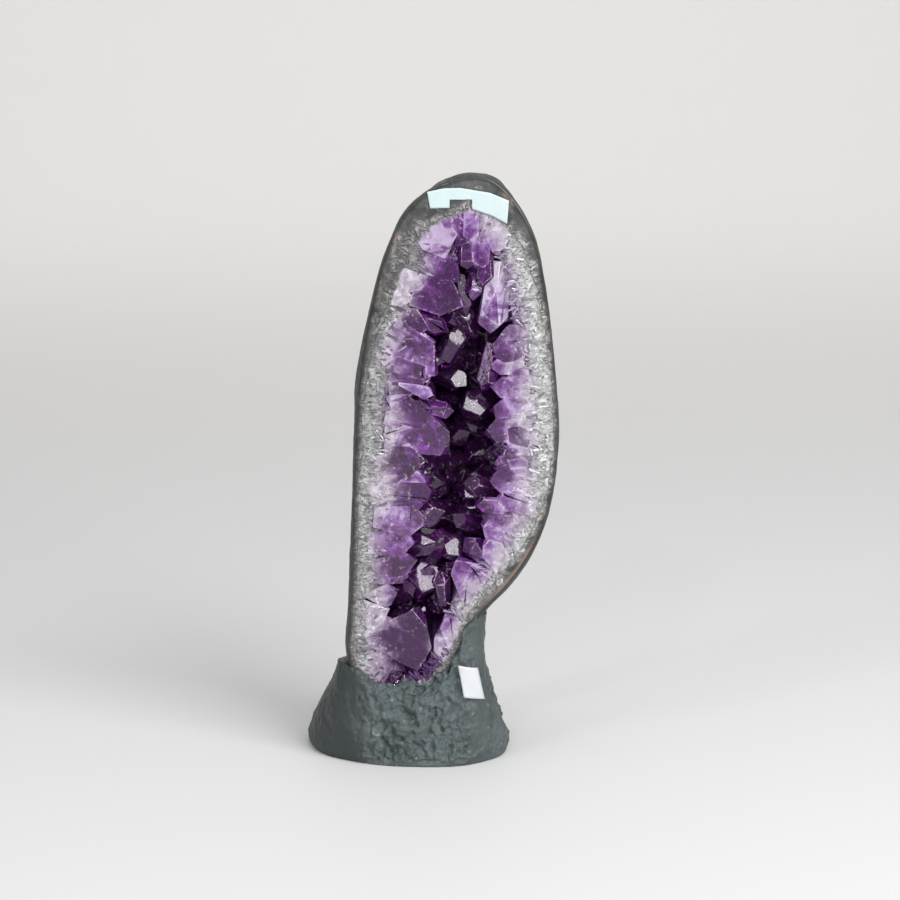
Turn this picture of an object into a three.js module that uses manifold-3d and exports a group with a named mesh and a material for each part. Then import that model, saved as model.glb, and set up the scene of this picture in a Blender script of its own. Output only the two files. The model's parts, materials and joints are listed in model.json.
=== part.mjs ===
// Amethyst geode: a tall half geode, sawn flat and polished in front, standing in a cast cement foot.
// Millimetres, +Z up. The sawn face looks along -Y. The origin is on the resting plane, under the
// middle of the whole object.
import * as THREE from "three";
import { mergeVertices } from "three/addons/utils/BufferGeometryUtils.js";
import Module from "manifold-3d";

const wasm = await Module();
wasm.setup();

// ---- driving dimensions -------------------------------------------------------------------------

const FACE_Y = -26; // plane of the sawn face
const BODY_DEPTH = 64; // sawn face to the back of the crust
const BACK_WALL = 7; // stone behind the crystals at the deepest place
const CAVITY_DEPTH = 40; // sawn face to the bed that the crystals stand on
const GIRDLE_DEPTH = 10; // the body is widest this far behind the sawn face
const MIDDLE = { x: 11, z: 142 }; // the body closes towards this point at its back
const GAP = 0.3; // clearance between pieces that touch
const FINEST = 0.03; // slivers smaller than this are left out where crystals meet
const PAPER = 0.4; // thickness of a sticker with its glue
const BACK_ROUNDNESS = { x: 2.3, z: 2.8 }; // exponents of the body's closing curves, across and up
const LUMP_HEIGHT = 0.75; // height of the gentle lumps of the crust

// Widest outline of the body, clockwise from the top as seen from the front. At each station:
// x, z, how far the outline draws in at the saw cut, width of the grey rim, width of the quartz bed.
const STATIONS = [
  [16.6, 261.0, 1.2, 13.5, 12],
  [28.0, 258.8, 1.0, 12.5, 11],
  [38.5, 248.0, 0.7, 10.0, 10],
  [45.5, 235.4, 0.6, 7.0, 11],
  [50.0, 217.0, 0.6, 5.0, 12],
  [53.4, 193.5, 0.6, 3.2, 13],
  [56.0, 167.5, 0.6, 2.4, 14],
  [56.9, 145.0, 0.6, 2.4, 14],
  [55.4, 123.5, 1.0, 3.0, 14],
  [51.2, 104.8, 1.6, 4.5, 14],
  [44.6, 90.0, 2.2, 6.0, 13],
  [35.9, 77.7, 2.4, 6.5, 12],
  [24.4, 65.4, 2.0, 6.0, 12],
  [16.5, 52.0, 1.5, 5.0, 12],
  [8.5, 38.5, 1.5, 5.0, 12],
  [-4.0, 28.0, 1.5, 5.0, 12],
  [-19.0, 24.5, 1.5, 5.0, 12],
  [-31.5, 31.0, 1.5, 5.0, 12],
  [-37.8, 46.0, 1.8, 3.0, 12],
  [-36.9, 68.0, 1.8, 2.6, 13],
  [-36.0, 90.0, 2.0, 2.6, 14],
  [-35.3, 113.0, 2.0, 2.6, 16],
  [-34.5, 136.0, 2.0, 2.6, 19],
  [-33.3, 158.0, 2.0, 3.0, 20],
  [-31.0, 181.0, 1.8, 4.0, 18],
  [-26.2, 204.0, 1.2, 6.0, 16],
  [-19.6, 227.0, 0.8, 9.0, 13],
  [-10.8, 245.0, 0.8, 11.0, 12],
  [3.5, 256.8, 1.0, 13.0, 12],
];

// Cement foot, from the floor up: height, left and right ends, front and back ends of the section,
// and the y of its widest line.
const FOOT_SECTIONS = [
  [0.0, -55.4, 34.4, -38.0, 38.4, 0],
  [3.5, -57.0, 35.9, -39.4, 40.0, 0],
  [12.0, -54.4, 33.6, -37.6, 38.6, -2],
  [20.0, -51.0, 31.4, -36.0, 36.4, -5],
  [30.0, -45.6, 28.4, -34.0, 33.6, -9],
  [40.0, -42.2, 25.6, -32.2, 30.4, -12],
  [48.0, -40.8, 25.0, -31.2, 27.6, -13],
  [57.0, -37.0, 25.2, -30.6, 22.5, -13],
  [66.6, -31.0, 26.0, -30.0, 14.0, -13],
];
const FRONT_SQUARENESS = [2.2, 3.2]; // exponent of the section's front half, at the floor and at the top
const BACK_SQUARENESS = [2.2, 1.9]; // the same for its back half
const FOOT_SHEAR = 0.14; // at the floor the left end of the section lies further back than the right end
const FOOT_MIDDLE = { x: -8, y: -6 }; // a place inside every section of the foot

// Upper border of the cement over the sawn face, as seen from the front (x, z).
const FRONT_BORDER = [
  [-60.0, 47.5],
  [-39.6, 47.3],
  [-36.0, 43.4],
  [-30.3, 41.1],
  [-25.4, 37.5],
  [-20.9, 35.9],
  [-11.6, 36.4],
  [0.0, 35.6],
  [3.2, 40.4],
  [9.0, 44.4],
  [12.9, 52.6],
  [14.2, 60.4],
  [17.8, 64.6],
  [24.0, 66.4],
  [60.0, 66.8],
];
const BORDER_START_Y = -60; // in front of the foot
const BORDER_END_Y = 8; // the border is cut as far back as this
const SHOULDER_END_Y = 26; // from there the cement rises in a shoulder that ends here
const SHOULDER_RISE = 26;
const LEFT_SINK = { depth: 6, full: -34, none: -25 }; // left of the stone the border drops to the back
const SHOULDER_SINK = { depth: 18, full: -34, none: 0 }; // its left part rises less than the rest
const ABOVE_FOOT = 130; // a height well over the foot

// Corners of the stickers as seen from the front (x, z).
const WEIGHT_LABEL = {
  topEdge: [
    [-1.0, 253.4],
    [13.2, 255.1],
    [26.1, 253.0],
    [34.3, 249.6],
  ],
  lowerEdge: [
    [33.5, 239.6],
    [18.4, 246.0],
    [18.4, 249.9],
    [8.7, 250.3],
    [8.7, 246.5],
    [0.3, 246.3],
  ],
};
const PRICE_LABEL = [
  [12.4, 44.7],
  [21.3, 42.9],
  [24.4, 28.8],
  [15.1, 30.6],
];
const PRICE_LABEL_GAP = GAP + 0.1; // its flat patches stay clear of the curved foot

// Colour and roughness of each piece.
const STONE = [0x4a4c4b, 0.35];
const AMETHYST = [0x7a4fa3, 0.15];
const PAINTED_CEMENT = [0x46504f, 0.8];
const TINTED_PAPER = [0xe4f6f6, 0.6];
const WHITE_PAPER = [0xf2f3f3, 0.6];

// How finely the surfaces are divided.
const BODY_POINTS = 60; // points round the body
const BODY_FRACTIONS = [0, 0.06, GIRDLE_DEPTH / BODY_DEPTH, 0.27, 0.4, 0.53, 0.66, 0.78, 0.88, 0.95, 0.99];
const LINING_POINTS = 48; // points round the hollow
const LINING_DEPTHS = [8, 18, 28, 37, 45, 51, 55.5];
const CAVITY_RISES = [0, 0.18, 0.38, 0.58, 0.76, 0.9, 0.98];
const FOOT_POINTS = 52; // points round the foot
const FOOT_HEIGHTS = [0, 1.2, 3.5, 9, 16, 24, 32, 40, 46, 52, 59];
const LABEL_CURVE_POINTS = 12;
const PRICE_LABEL_STEPS = 6;
const HALVINGS = 36; // steps of each search by halving

// ---- solids and meshes --------------------------------------------------------------------------

// Closed solid of a geometry, turned inside out where its faces point inwards.
function toSolid(geometry) {
  const bare = geometry.clone();
  bare.deleteAttribute("normal");
  bare.deleteAttribute("uv");
  const merged = mergeVertices(bare, 1e-3);
  const triVerts = new Uint32Array(merged.index.array);
  const vertProperties = merged.attributes.position.array;
  const solid = new wasm.Manifold(new wasm.Mesh({ numProp: 3, vertProperties, triVerts }));
  if (solid.volume() > 0) return solid;
  for (let i = 0; i < triVerts.length; i += 3) {
    [triVerts[i + 1], triVerts[i + 2]] = [triVerts[i + 2], triVerts[i + 1]];
  }
  return new wasm.Manifold(new wasm.Mesh({ numProp: 3, vertProperties, triVerts }));
}

function toMesh(name, solid, [color, roughness]) {
  const mesh = solid.getMesh();
  const geometry = new THREE.BufferGeometry();
  const positions = new Float32Array(mesh.numVert * 3);
  for (let i = 0; i < mesh.numVert; i++) {
    for (let k = 0; k < 3; k++) positions[3 * i + k] = mesh.vertProperties[mesh.numProp * i + k];
  }
  geometry.setAttribute("position", new THREE.BufferAttribute(positions, 3));
  geometry.setIndex(Array.from(mesh.triVerts));
  geometry.computeVertexNormals();
  const material = new THREE.MeshStandardMaterial({ color, roughness, metalness: 0 });
  const made = new THREE.Mesh(geometry, material);
  made.name = name;
  return made;
}

// Closed surface through rings of equal count, with a fan at each end.
function loft(rings, firstCentre, lastCentre) {
  const count = rings[0].length;
  const vertices = [...rings.flat(), firstCentre, lastCentre];
  const first = vertices.length - 2;
  const last = vertices.length - 1;
  const index = [];
  for (let r = 0; r + 1 < rings.length; r++) {
    for (let i = 0; i < count; i++) {
      const j = (i + 1) % count;
      const a = r * count + i;
      const b = r * count + j;
      index.push(a, b, b + count, a, b + count, a + count);
    }
  }
  const top = (rings.length - 1) * count;
  for (let i = 0; i < count; i++) {
    const j = (i + 1) % count;
    index.push(first, j, i, last, top + i, top + j);
  }
  const geometry = new THREE.BufferGeometry().setFromPoints(vertices);
  geometry.setIndex(index);
  return geometry;
}

// ---- geode body ---------------------------------------------------------------------------------

function closedCurve(points, kind) {
  return new THREE.CatmullRomCurve3(points, true, kind);
}
const OUTLINE = closedCurve(
  STATIONS.map(([x, z]) => new THREE.Vector3(x, 0, z)),
  "centripetal",
);
const WIDTHS = closedCurve(
  STATIONS.map(([, , draw, rim, bed]) => new THREE.Vector3(draw, rim, bed)),
  "catmullrom",
);

// Point of the outline at turn t (0..1), with its inward normal and the widths there.
function outlineAt(t) {
  const point = OUTLINE.getPoint(t);
  const along = OUTLINE.getTangent(t);
  const widths = WIDTHS.getPoint(t);
  return {
    x: point.x,
    z: point.z,
    inX: along.z,
    inZ: -along.x,
    draw: widths.x,
    rim: widths.y,
    bed: widths.z,
  };
}

// 1 at the sawn face, 0 at the given depth, with a rounded back.
function closing(depth, fullDepth, power) {
  const part = THREE.MathUtils.clamp(depth / fullDepth, 0, 1);
  return (1 - part ** power) ** (1 / power);
}

// Gentle lumps of the crust, which start behind the saw cut.
function lump(t, depth) {
  const turn = 2 * Math.PI * t;
  const start = THREE.MathUtils.smoothstep(depth, 2, 20);
  const waves =
    Math.sin(5 * turn + 0.09 * depth) +
    0.7 * Math.sin(9 * turn - 0.13 * depth + 1.3) +
    0.5 * Math.sin(17 * turn + 0.21 * depth + 0.4);
  return LUMP_HEIGHT * start * waves;
}

// Point of the body at turn t, so far behind the sawn face and so far inside the outline.
function bodyPoint(t, depth, inset, fullDepth) {
  const s = outlineAt(t);
  const x = s.x + s.inX * inset;
  const z = s.z + s.inZ * inset;
  return new THREE.Vector3(
    MIDDLE.x + (x - MIDDLE.x) * closing(depth, fullDepth, BACK_ROUNDNESS.x),
    FACE_Y + depth,
    MIDDLE.z + (z - MIDDLE.z) * closing(depth, fullDepth, BACK_ROUNDNESS.z),
  );
}

function bodyRings(count, depths, insetAt, fullDepth) {
  return depths.map((depth) =>
    Array.from({ length: count }, (_, i) =>
      bodyPoint(i / count, depth, insetAt(i / count, depth), fullDepth),
    ),
  );
}

function centreAt(depth) {
  return new THREE.Vector3(MIDDLE.x, FACE_Y + depth, MIDDLE.z);
}

// Outside of the geode; grow makes the same shape a little larger all round.
function bodySolid(grow = 0) {
  const fullDepth = BODY_DEPTH + grow;
  const depths = BODY_FRACTIONS.map((fraction) => fraction * fullDepth);
  const inset = (t, depth) => {
    const toGirdle = Math.max(0, 1 - depth / GIRDLE_DEPTH);
    return outlineAt(t).draw * toGirdle ** 2 - lump(t, depth) - grow;
  };
  const rings = bodyRings(BODY_POINTS, depths, inset, fullDepth);
  if (grow > 0) {
    rings.unshift(rings[0].map((p) => new THREE.Vector3(p.x, FACE_Y - grow, p.z)));
  }
  return toSolid(loft(rings, centreAt(-grow), centreAt(fullDepth)));
}

// The hollow inside the rim, from "start" behind the face; tight leaves a gap to the stone.
function liningSpace(start, tight) {
  const fullDepth = BODY_DEPTH - BACK_WALL - tight;
  const depths = [start, ...LINING_DEPTHS].map((depth) => Math.min(depth, fullDepth - 0.8));
  const inset = (t) => {
    const s = outlineAt(t);
    return s.draw + s.rim + tight;
  };
  const rings = bodyRings(LINING_POINTS, depths, inset, fullDepth);
  return toSolid(loft(rings, centreAt(start), centreAt(fullDepth)));
}

// Point of the bed that the crystals stand on: t round the outline, rise 0 at the face to 1 at the
// deepest place.
function bedPoint(t, rise) {
  const s = outlineAt(t);
  const inset = s.draw + s.rim + s.bed;
  const x = s.x + s.inX * inset;
  const z = s.z + s.inZ * inset;
  const shrink = Math.sqrt(1 - rise * rise);
  return new THREE.Vector3(
    MIDDLE.x + (x - MIDDLE.x) * shrink,
    FACE_Y + CAVITY_DEPTH * rise,
    MIDDLE.z + (z - MIDDLE.z) * shrink,
  );
}

// The hollow over the bed, open at the sawn face.
function cavitySolid() {
  const rings = CAVITY_RISES.map((rise) =>
    Array.from({ length: LINING_POINTS }, (_, i) => bedPoint(i / LINING_POINTS, rise)),
  );
  rings.unshift(rings[0].map((p) => new THREE.Vector3(p.x, FACE_Y - 1, p.z)));
  return toSolid(loft(rings, centreAt(-1), centreAt(CAVITY_DEPTH)));
}

// ---- crystals -----------------------------------------------------------------------------------

const POINT_SLENDERNESS = 1.15; // height of a crystal's point over its radius
const MIDDLE_LINE = { low: 72, high: 222, bendStart: 60, bendEnd: 170, lowX: -4, highX: 16, depth: 5 };
const ROOT_DEPTH = 6; // how far a crystal's root lies inside the bed
const LEAN_SPREAD = { x: 0.35, y: 0.25, z: 0.35 }; // how much the crystals' directions vary
const RADIUS_SPREAD = 0.2; // how much their radii vary, as a part of the radius
const REACH_SPREAD = 0.25; // how much their heights vary, as a part of the height

// Repeatable scatter in 0..1 for a whole number and a channel.
function scatter(i, channel) {
  const v = Math.sin(i * 12.9898 + channel * 78.233) * 43758.5453;
  return v - Math.floor(v);
}

// Six-sided quartz crystal from its root along its axis, closed by a six-sided point.
function crystalSolid(root, axis, length, radius, twist) {
  const pointHeight = POINT_SLENDERNESS * radius;
  const turn = new THREE.Quaternion().setFromUnitVectors(new THREE.Vector3(0, 0, 1), axis);
  const at = (x, y, z) => new THREE.Vector3(x, y, z).applyQuaternion(turn).add(root);
  const hexagon = (height) =>
    Array.from({ length: 6 }, (_, k) => {
      const angle = twist + (k * Math.PI) / 3;
      return at(radius * Math.cos(angle), radius * Math.sin(angle), height);
    });
  const rings = [hexagon(0), hexagon(length - pointHeight)];
  return toSolid(loft(rings, at(0, 0, 0), at(0, 0, length)));
}

// Place on the long middle line of the hollow, towards which the crystals lean.
function middleLine(z) {
  const height = THREE.MathUtils.clamp(z, MIDDLE_LINE.low, MIDDLE_LINE.high);
  const bend = THREE.MathUtils.smoothstep(height, MIDDLE_LINE.bendStart, MIDDLE_LINE.bendEnd);
  const x = THREE.MathUtils.lerp(MIDDLE_LINE.lowX, MIDDLE_LINE.highX, bend);
  return new THREE.Vector3(x, FACE_Y + MIDDLE_LINE.depth, height);
}

// Rows of crystals round the bed: how deep the row lies, how many, how far they stand out.
const CRYSTAL_ROWS = [
  { rise: 0.05, count: 29, reach: 9.0, radius: 7.5 },
  { rise: 0.4, count: 24, reach: 8.5, radius: 7.5 },
  { rise: 0.68, count: 18, reach: 8.0, radius: 8.0 },
  { rise: 0.88, count: 12, reach: 7.0, radius: 8.0 },
  { rise: 0.98, count: 6, reach: 6.5, radius: 8.0 },
];

// One crystal of a row, at turn t; every other measure varies with the seed.
function rowCrystal(row, t, seed) {
  const vary = (channel, spread) => 1 + spread * (2 * scatter(seed, channel) - 1);
  const foot = bedPoint(t, row.rise);
  const axis = middleLine(foot.z).sub(foot).normalize();
  axis.x += LEAN_SPREAD.x * (scatter(seed, 2) - 0.5);
  axis.y += LEAN_SPREAD.y * (scatter(seed, 3) - 0.5);
  axis.z += LEAN_SPREAD.z * (scatter(seed, 4) - 0.5);
  axis.normalize();
  const radius = row.radius * vary(5, RADIUS_SPREAD);
  const length = ROOT_DEPTH + row.reach * vary(6, REACH_SPREAD) + 0.3 * radius;
  const root = foot.clone().addScaledVector(axis, -ROOT_DEPTH);
  return crystalSolid(root, axis, length, radius, scatter(seed, 7));
}

// All crystals joined; each second row is shifted by half a step.
function crystalsSolid() {
  const parts = [];
  CRYSTAL_ROWS.forEach((row, r) => {
    for (let i = 0; i < row.count; i++) {
      const seed = 100 * r + i;
      const t = (i + 0.5 * (r % 2) + 0.4 * scatter(seed, 1)) / row.count;
      parts.push(rowCrystal(row, t, seed));
    }
  });
  return parts.reduce((all, one) => all.add(one));
}

// The bed and its crystals as one solid. Where crystals close over a gap between their feet, the gap
// is filled: only the largest skin of the joined solid is kept.
function liningSolid() {
  const space = liningSpace(0, GAP);
  const joined = space.subtract(cavitySolid()).add(crystalsSolid()).intersect(space);
  const skins = joined.simplify(FINEST).decompose();
  return skins.reduce((best, skin) => (skin.volume() > best.volume() ? skin : best));
}

// ---- cement foot --------------------------------------------------------------------------------

const FOOT_SIDES = new THREE.CatmullRomCurve3(
  FOOT_SECTIONS.map(([z, left, right]) => new THREE.Vector3(left, right, z)),
);
const FOOT_ENDS = new THREE.CatmullRomCurve3(
  FOOT_SECTIONS.map(([, , , front, back, widest]) => new THREE.Vector3(front, back, widest)),
);
const FOOT_TOP = FOOT_SECTIONS.at(-1)[0];

// Section of the foot at height z: its measures read off the two curves.
function footSection(z) {
  let low = 0;
  let high = 1;
  for (let k = 0; k < HALVINGS; k++) {
    const mid = (low + high) / 2;
    if (FOOT_SIDES.getPoint(mid).z < z) low = mid;
    else high = mid;
  }
  const sides = FOOT_SIDES.getPoint(low);
  const ends = FOOT_ENDS.getPoint(low);
  return { left: sides.x, right: sides.y, front: ends.x, back: ends.y, widest: ends.z };
}

// Point of the foot's side: angle 0 is the right end, a quarter turn on is the back.
function footPoint(angle, z) {
  const s = footSection(z);
  const height = z / FOOT_TOP;
  const [floorPower, topPower] = Math.sin(angle) < 0 ? FRONT_SQUARENESS : BACK_SQUARENESS;
  const power = THREE.MathUtils.lerp(floorPower, topPower, THREE.MathUtils.smoothstep(height, 0, 0.6));
  const round = (v) => Math.sign(v) * Math.abs(v) ** (2 / power);
  const halfWidth = (s.right - s.left) / 2;
  const reach = Math.sin(angle) < 0 ? s.widest - s.front : s.back - s.widest;
  const shift = FOOT_SHEAR * (1 - height) * halfWidth * Math.cos(angle);
  const bump = 0.5 * Math.sin(7 * angle + 0.1 * z) * Math.sin(0.16 * z + 2 * angle);
  return new THREE.Vector3(
    (s.left + s.right) / 2 + (halfWidth + bump) * round(Math.cos(angle)),
    s.widest + (reach + bump) * round(Math.sin(angle)) - shift,
    z,
  );
}

// Block over the cement's border, from in front of the foot to the end of the shoulder behind it.
// Left of the stone it reaches lower behind the border, so that the cement slopes away there.
function overBorder() {
  const ring = (y, rise = 0, sink = { ...LEFT_SINK, depth: 0 }) => {
    const border = FRONT_BORDER.map(([x, z]) => {
      const share = 1 - THREE.MathUtils.smoothstep(x, sink.full, sink.none);
      return new THREE.Vector3(x, y, z - sink.depth * share + rise);
    });
    const right = new THREE.Vector3(border.at(-1).x, y, ABOVE_FOOT);
    const left = new THREE.Vector3(border[0].x, y, ABOVE_FOOT);
    return [...border, right, left];
  };
  const rings = [
    ring(BORDER_START_Y),
    ring(FACE_Y),
    ring(BORDER_END_Y, 0, LEFT_SINK),
    ring(SHOULDER_END_Y, SHOULDER_RISE, SHOULDER_SINK),
  ];
  const inside = (y) => new THREE.Vector3(FOOT_MIDDLE.x, y, (FOOT_TOP + ABOVE_FOOT) / 2);
  return toSolid(loft(rings, inside(BORDER_START_Y), inside(SHOULDER_END_Y)));
}

// The cast block, cut off along its border and hollowed where the geode stands in it.
function footSolid() {
  const rings = [...FOOT_HEIGHTS, FOOT_TOP].map((z) =>
    Array.from({ length: FOOT_POINTS }, (_, i) => footPoint((2 * Math.PI * i) / FOOT_POINTS, z)),
  );
  const middle = (z) => new THREE.Vector3(FOOT_MIDDLE.x, FOOT_MIDDLE.y, z);
  const block = toSolid(loft(rings, middle(0), middle(FOOT_TOP)));
  return block.subtract(overBorder()).subtract(bodySolid(GAP + 0.05));
}

// ---- stickers -----------------------------------------------------------------------------------

// Flat sticker on the sawn face: arched top edge, notch in the lower edge.
function weightLabelSolid() {
  const shape = new THREE.Shape();
  const top = WEIGHT_LABEL.topEdge.map(([x, z]) => new THREE.Vector2(x, z));
  shape.moveTo(top[0].x, top[0].y);
  shape.splineThru(top.slice(1));
  WEIGHT_LABEL.lowerEdge.forEach(([x, z]) => shape.lineTo(x, z));
  const settings = { depth: PAPER, bevelEnabled: false, curveSegments: LABEL_CURVE_POINTS };
  const plate = new THREE.ExtrudeGeometry(shape, settings);
  plate.rotateX(Math.PI / 2).translate(0, FACE_Y - GAP, 0);
  return toSolid(plate);
}

// Front of the foot above a place (x, z), found by halving the angle range.
function footFront(x, z) {
  let low = -Math.PI;
  let high = 0;
  for (let k = 0; k < HALVINGS; k++) {
    const mid = (low + high) / 2;
    if (footPoint(mid, z).x < x) low = mid;
    else high = mid;
  }
  return footPoint(low, z);
}

// Place that lies so far in front of the foot, straight out from its surface.
function beforeFoot(x, z, offset) {
  const here = footFront(x, z);
  const right = footFront(x + 0.5, z).sub(here);
  const up = footFront(x, z + 0.5).sub(here);
  return here.addScaledVector(right.cross(up).normalize(), offset);
}

// Rows of points of the price label, all so far in front of the foot.
function priceLabelGrid(offset) {
  const corners = PRICE_LABEL.map(([x, z]) => new THREE.Vector2(x, z));
  const parts = Array.from({ length: PRICE_LABEL_STEPS + 1 }, (_, k) => k / PRICE_LABEL_STEPS);
  return parts.map((down) =>
    parts.map((across) => {
      const upper = corners[0].clone().lerp(corners[1], across);
      const lower = corners[3].clone().lerp(corners[2], across);
      const place = upper.lerp(lower, down);
      return beforeFoot(place.x, place.y, offset);
    }),
  );
}

// Edge of a grid of points, once round.
function gridEdge(rows) {
  const middle = rows.slice(1, -1);
  const right = middle.map((row) => row.at(-1));
  const left = middle.map((row) => row[0]);
  return [...rows[0], ...right, ...rows.at(-1).toReversed(), ...left.toReversed()];
}

// Small four-sided sticker that follows the front of the foot.
function priceLabelSolid() {
  const inner = priceLabelGrid(PRICE_LABEL_GAP);
  const outer = priceLabelGrid(PRICE_LABEL_GAP + PAPER);
  const triangles = [];
  const quad = (a, b, c, d) => triangles.push(a, b, c, a, c, d);
  for (let v = 0; v < PRICE_LABEL_STEPS; v++) {
    for (let u = 0; u < PRICE_LABEL_STEPS; u++) {
      quad(outer[v][u], outer[v + 1][u], outer[v + 1][u + 1], outer[v][u + 1]);
      quad(inner[v][u], inner[v][u + 1], inner[v + 1][u + 1], inner[v + 1][u]);
    }
  }
  const innerEdge = gridEdge(inner);
  const outerEdge = gridEdge(outer);
  innerEdge.forEach((point, i) => {
    const next = (i + 1) % innerEdge.length;
    quad(point, outerEdge[i], outerEdge[next], innerEdge[next]);
  });
  return toSolid(new THREE.BufferGeometry().setFromPoints(triangles));
}

// ---- the object ---------------------------------------------------------------------------------

const geode = new THREE.Group();
geode.add(
  toMesh("geode_rind", bodySolid().subtract(liningSpace(-1, 0)), STONE),
  toMesh("crystal_lining", liningSolid(), AMETHYST),
  toMesh("cement_foot", footSolid(), PAINTED_CEMENT),
  toMesh("weight_label", weightLabelSolid(), TINTED_PAPER),
  toMesh("price_label", priceLabelSolid(), WHITE_PAPER),
);

export default geode;
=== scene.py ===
"""Amethyst geode on a cement foot: every visible surface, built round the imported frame.

Lengths are in millimetres until a mesh is made. X is right, -Y is towards the viewer, Z is up.
"""
import json
import math
import random

import bmesh
import bpy
import numpy as np
from mathutils import Matrix, Vector, noise

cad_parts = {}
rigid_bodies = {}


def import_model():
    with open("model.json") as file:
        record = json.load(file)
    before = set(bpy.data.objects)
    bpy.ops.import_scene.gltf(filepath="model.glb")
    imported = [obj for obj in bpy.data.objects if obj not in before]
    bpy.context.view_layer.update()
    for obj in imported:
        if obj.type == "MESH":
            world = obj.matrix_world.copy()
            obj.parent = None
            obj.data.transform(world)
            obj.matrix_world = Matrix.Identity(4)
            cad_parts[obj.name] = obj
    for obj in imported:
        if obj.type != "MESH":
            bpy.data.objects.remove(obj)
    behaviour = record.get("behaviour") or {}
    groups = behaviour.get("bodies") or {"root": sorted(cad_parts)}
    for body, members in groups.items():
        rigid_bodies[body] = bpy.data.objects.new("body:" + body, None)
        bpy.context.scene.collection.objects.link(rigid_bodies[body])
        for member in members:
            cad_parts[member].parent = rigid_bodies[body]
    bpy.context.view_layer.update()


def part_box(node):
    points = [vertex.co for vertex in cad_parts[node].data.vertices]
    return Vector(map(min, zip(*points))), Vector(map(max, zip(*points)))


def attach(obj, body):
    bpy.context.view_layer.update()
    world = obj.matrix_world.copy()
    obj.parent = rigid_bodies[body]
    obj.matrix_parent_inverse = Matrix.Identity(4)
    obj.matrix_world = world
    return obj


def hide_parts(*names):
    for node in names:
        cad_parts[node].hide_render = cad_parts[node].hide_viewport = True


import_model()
MM = 0.001

# ---- measures shared with the CAD part ----

FACE_Y = round(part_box("geode_rind")[0][1] / MM, 3)  # plane of the sawn face
BODY_DEPTH = 64.0
BACK_WALL = 7.0  # stone behind the deepest crystals
BED_DEPTH = 40.0  # deepest place of the surface that the crystals stand on
GIRDLE_DEPTH = 10.0  # how far behind the face the body is widest
MIDDLE = (11.0, 142.0)  # x and z that the outline closes to at the back
BACK_ROUNDNESS = (2.3, 2.8)  # exponents of that closing, across and along

# Widest outline, clockwise from the top: x, z, draw-in at the saw cut, grey rim, quartz band.
STATIONS = np.array([
    (16.6, 261.0, 1.2, 13.5, 8), (28.0, 258.8, 1.0, 12.5, 8), (38.5, 248.0, 0.7, 10.0, 9),
    (45.5, 235.4, 0.6, 7.0, 11), (50.0, 217.0, 0.6, 4.6, 12), (53.4, 193.5, 0.6, 2.8, 12),
    (56.0, 167.5, 0.6, 2.0, 12), (56.9, 145.0, 0.6, 1.9, 12), (55.4, 123.5, 1.0, 2.2, 12),
    (51.2, 104.8, 1.6, 4.0, 11), (44.6, 90.0, 2.2, 5.0, 10), (35.9, 77.7, 2.4, 5.6, 9),
    (24.4, 65.4, 2.0, 4.6, 9), (16.5, 52.0, 1.5, 3.5, 5), (8.5, 38.5, 1.5, 3.5, 4),
    (-4.0, 28.0, 1.5, 3.5, 4), (-19.0, 24.5, 1.5, 3.5, 4), (-31.5, 31.0, 1.5, 3.5, 6),
    (-37.8, 46.0, 1.8, 2.4, 9), (-36.9, 68.0, 1.8, 1.8, 11), (-36.0, 90.0, 2.0, 1.8, 11),
    (-35.3, 113.0, 2.0, 1.8, 12), (-34.5, 136.0, 2.0, 1.8, 12), (-33.3, 158.0, 2.0, 2.2, 12),
    (-31.0, 181.0, 1.8, 3.4, 12), (-26.2, 204.0, 1.2, 5.6, 12), (-19.6, 227.0, 0.8, 8.5, 11),
    (-10.8, 245.0, 0.8, 11.0, 9), (3.5, 256.8, 1.0, 13.0, 8),
])

# Cement foot, floor to top: height, left, right, front, back, y of the widest line.
FOOT_SECTIONS = np.array([
    (0.0, -55.4, 34.4, -38.0, 38.4, 0), (3.5, -57.0, 35.9, -39.4, 40.0, 0),
    (12.0, -54.4, 33.6, -37.6, 38.6, -2), (20.0, -51.0, 31.4, -36.0, 36.4, -5),
    (30.0, -45.6, 28.4, -34.0, 33.6, -9), (40.0, -42.2, 25.6, -32.2, 30.4, -12),
    (48.0, -40.8, 25.0, -31.2, 27.6, -13), (57.0, -37.0, 25.2, -30.6, 22.5, -13),
    (66.6, -31.0, 26.0, -30.0, 14.0, -13),
])
FOOT_SHEAR = 0.14
BORDER_END_Y = 8.0  # how far back the cement is cut down to its front border
SHOULDER_END_Y = 26.0  # from there it rises in a shoulder that ends here
SHOULDER_RISE = 26.0
SHOULDER_SINK = 18.0  # by so much less it rises at its left end
LEFT_SINK = 6.0  # left of the stone the border drops to the back
FOOT_MIDDLE = (-8.0, -6.0)  # a place inside every section of the foot

# How finely each piece is made: points round a ring, and the cement's voxels in millimetres.
RIND_COLUMNS = 700
BED_COLUMNS = 1000
CUTTER_COLUMNS = 240
LIMIT_COLUMNS = 400
FOOT_COLUMNS = 200
CEMENT_VOXEL = 0.62
RIM_ROWS = 16
BAND_ROWS = 40
SAW_EDGE = 0.7  # radius of the rounded edge of the saw cut

# Upper border of the cement over the sawn face (x, z).
FRONT_BORDER = np.array([
    (-60.0, 47.5), (-39.6, 47.3), (-36.0, 43.4), (-30.3, 41.1), (-25.4, 37.5), (-20.9, 35.9),
    (-11.6, 36.4), (0.0, 35.6), (3.2, 40.4), (9.0, 44.4), (12.9, 52.6), (14.2, 60.4),
    (17.8, 64.6), (24.0, 66.4), (60.0, 66.8),
])

# ---- small helpers ----


def smoothstep(x, low, high):
    part = np.clip((np.asarray(x, float) - low) / (high - low), 0, 1)
    return part * part * (3 - 2 * part)


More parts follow.
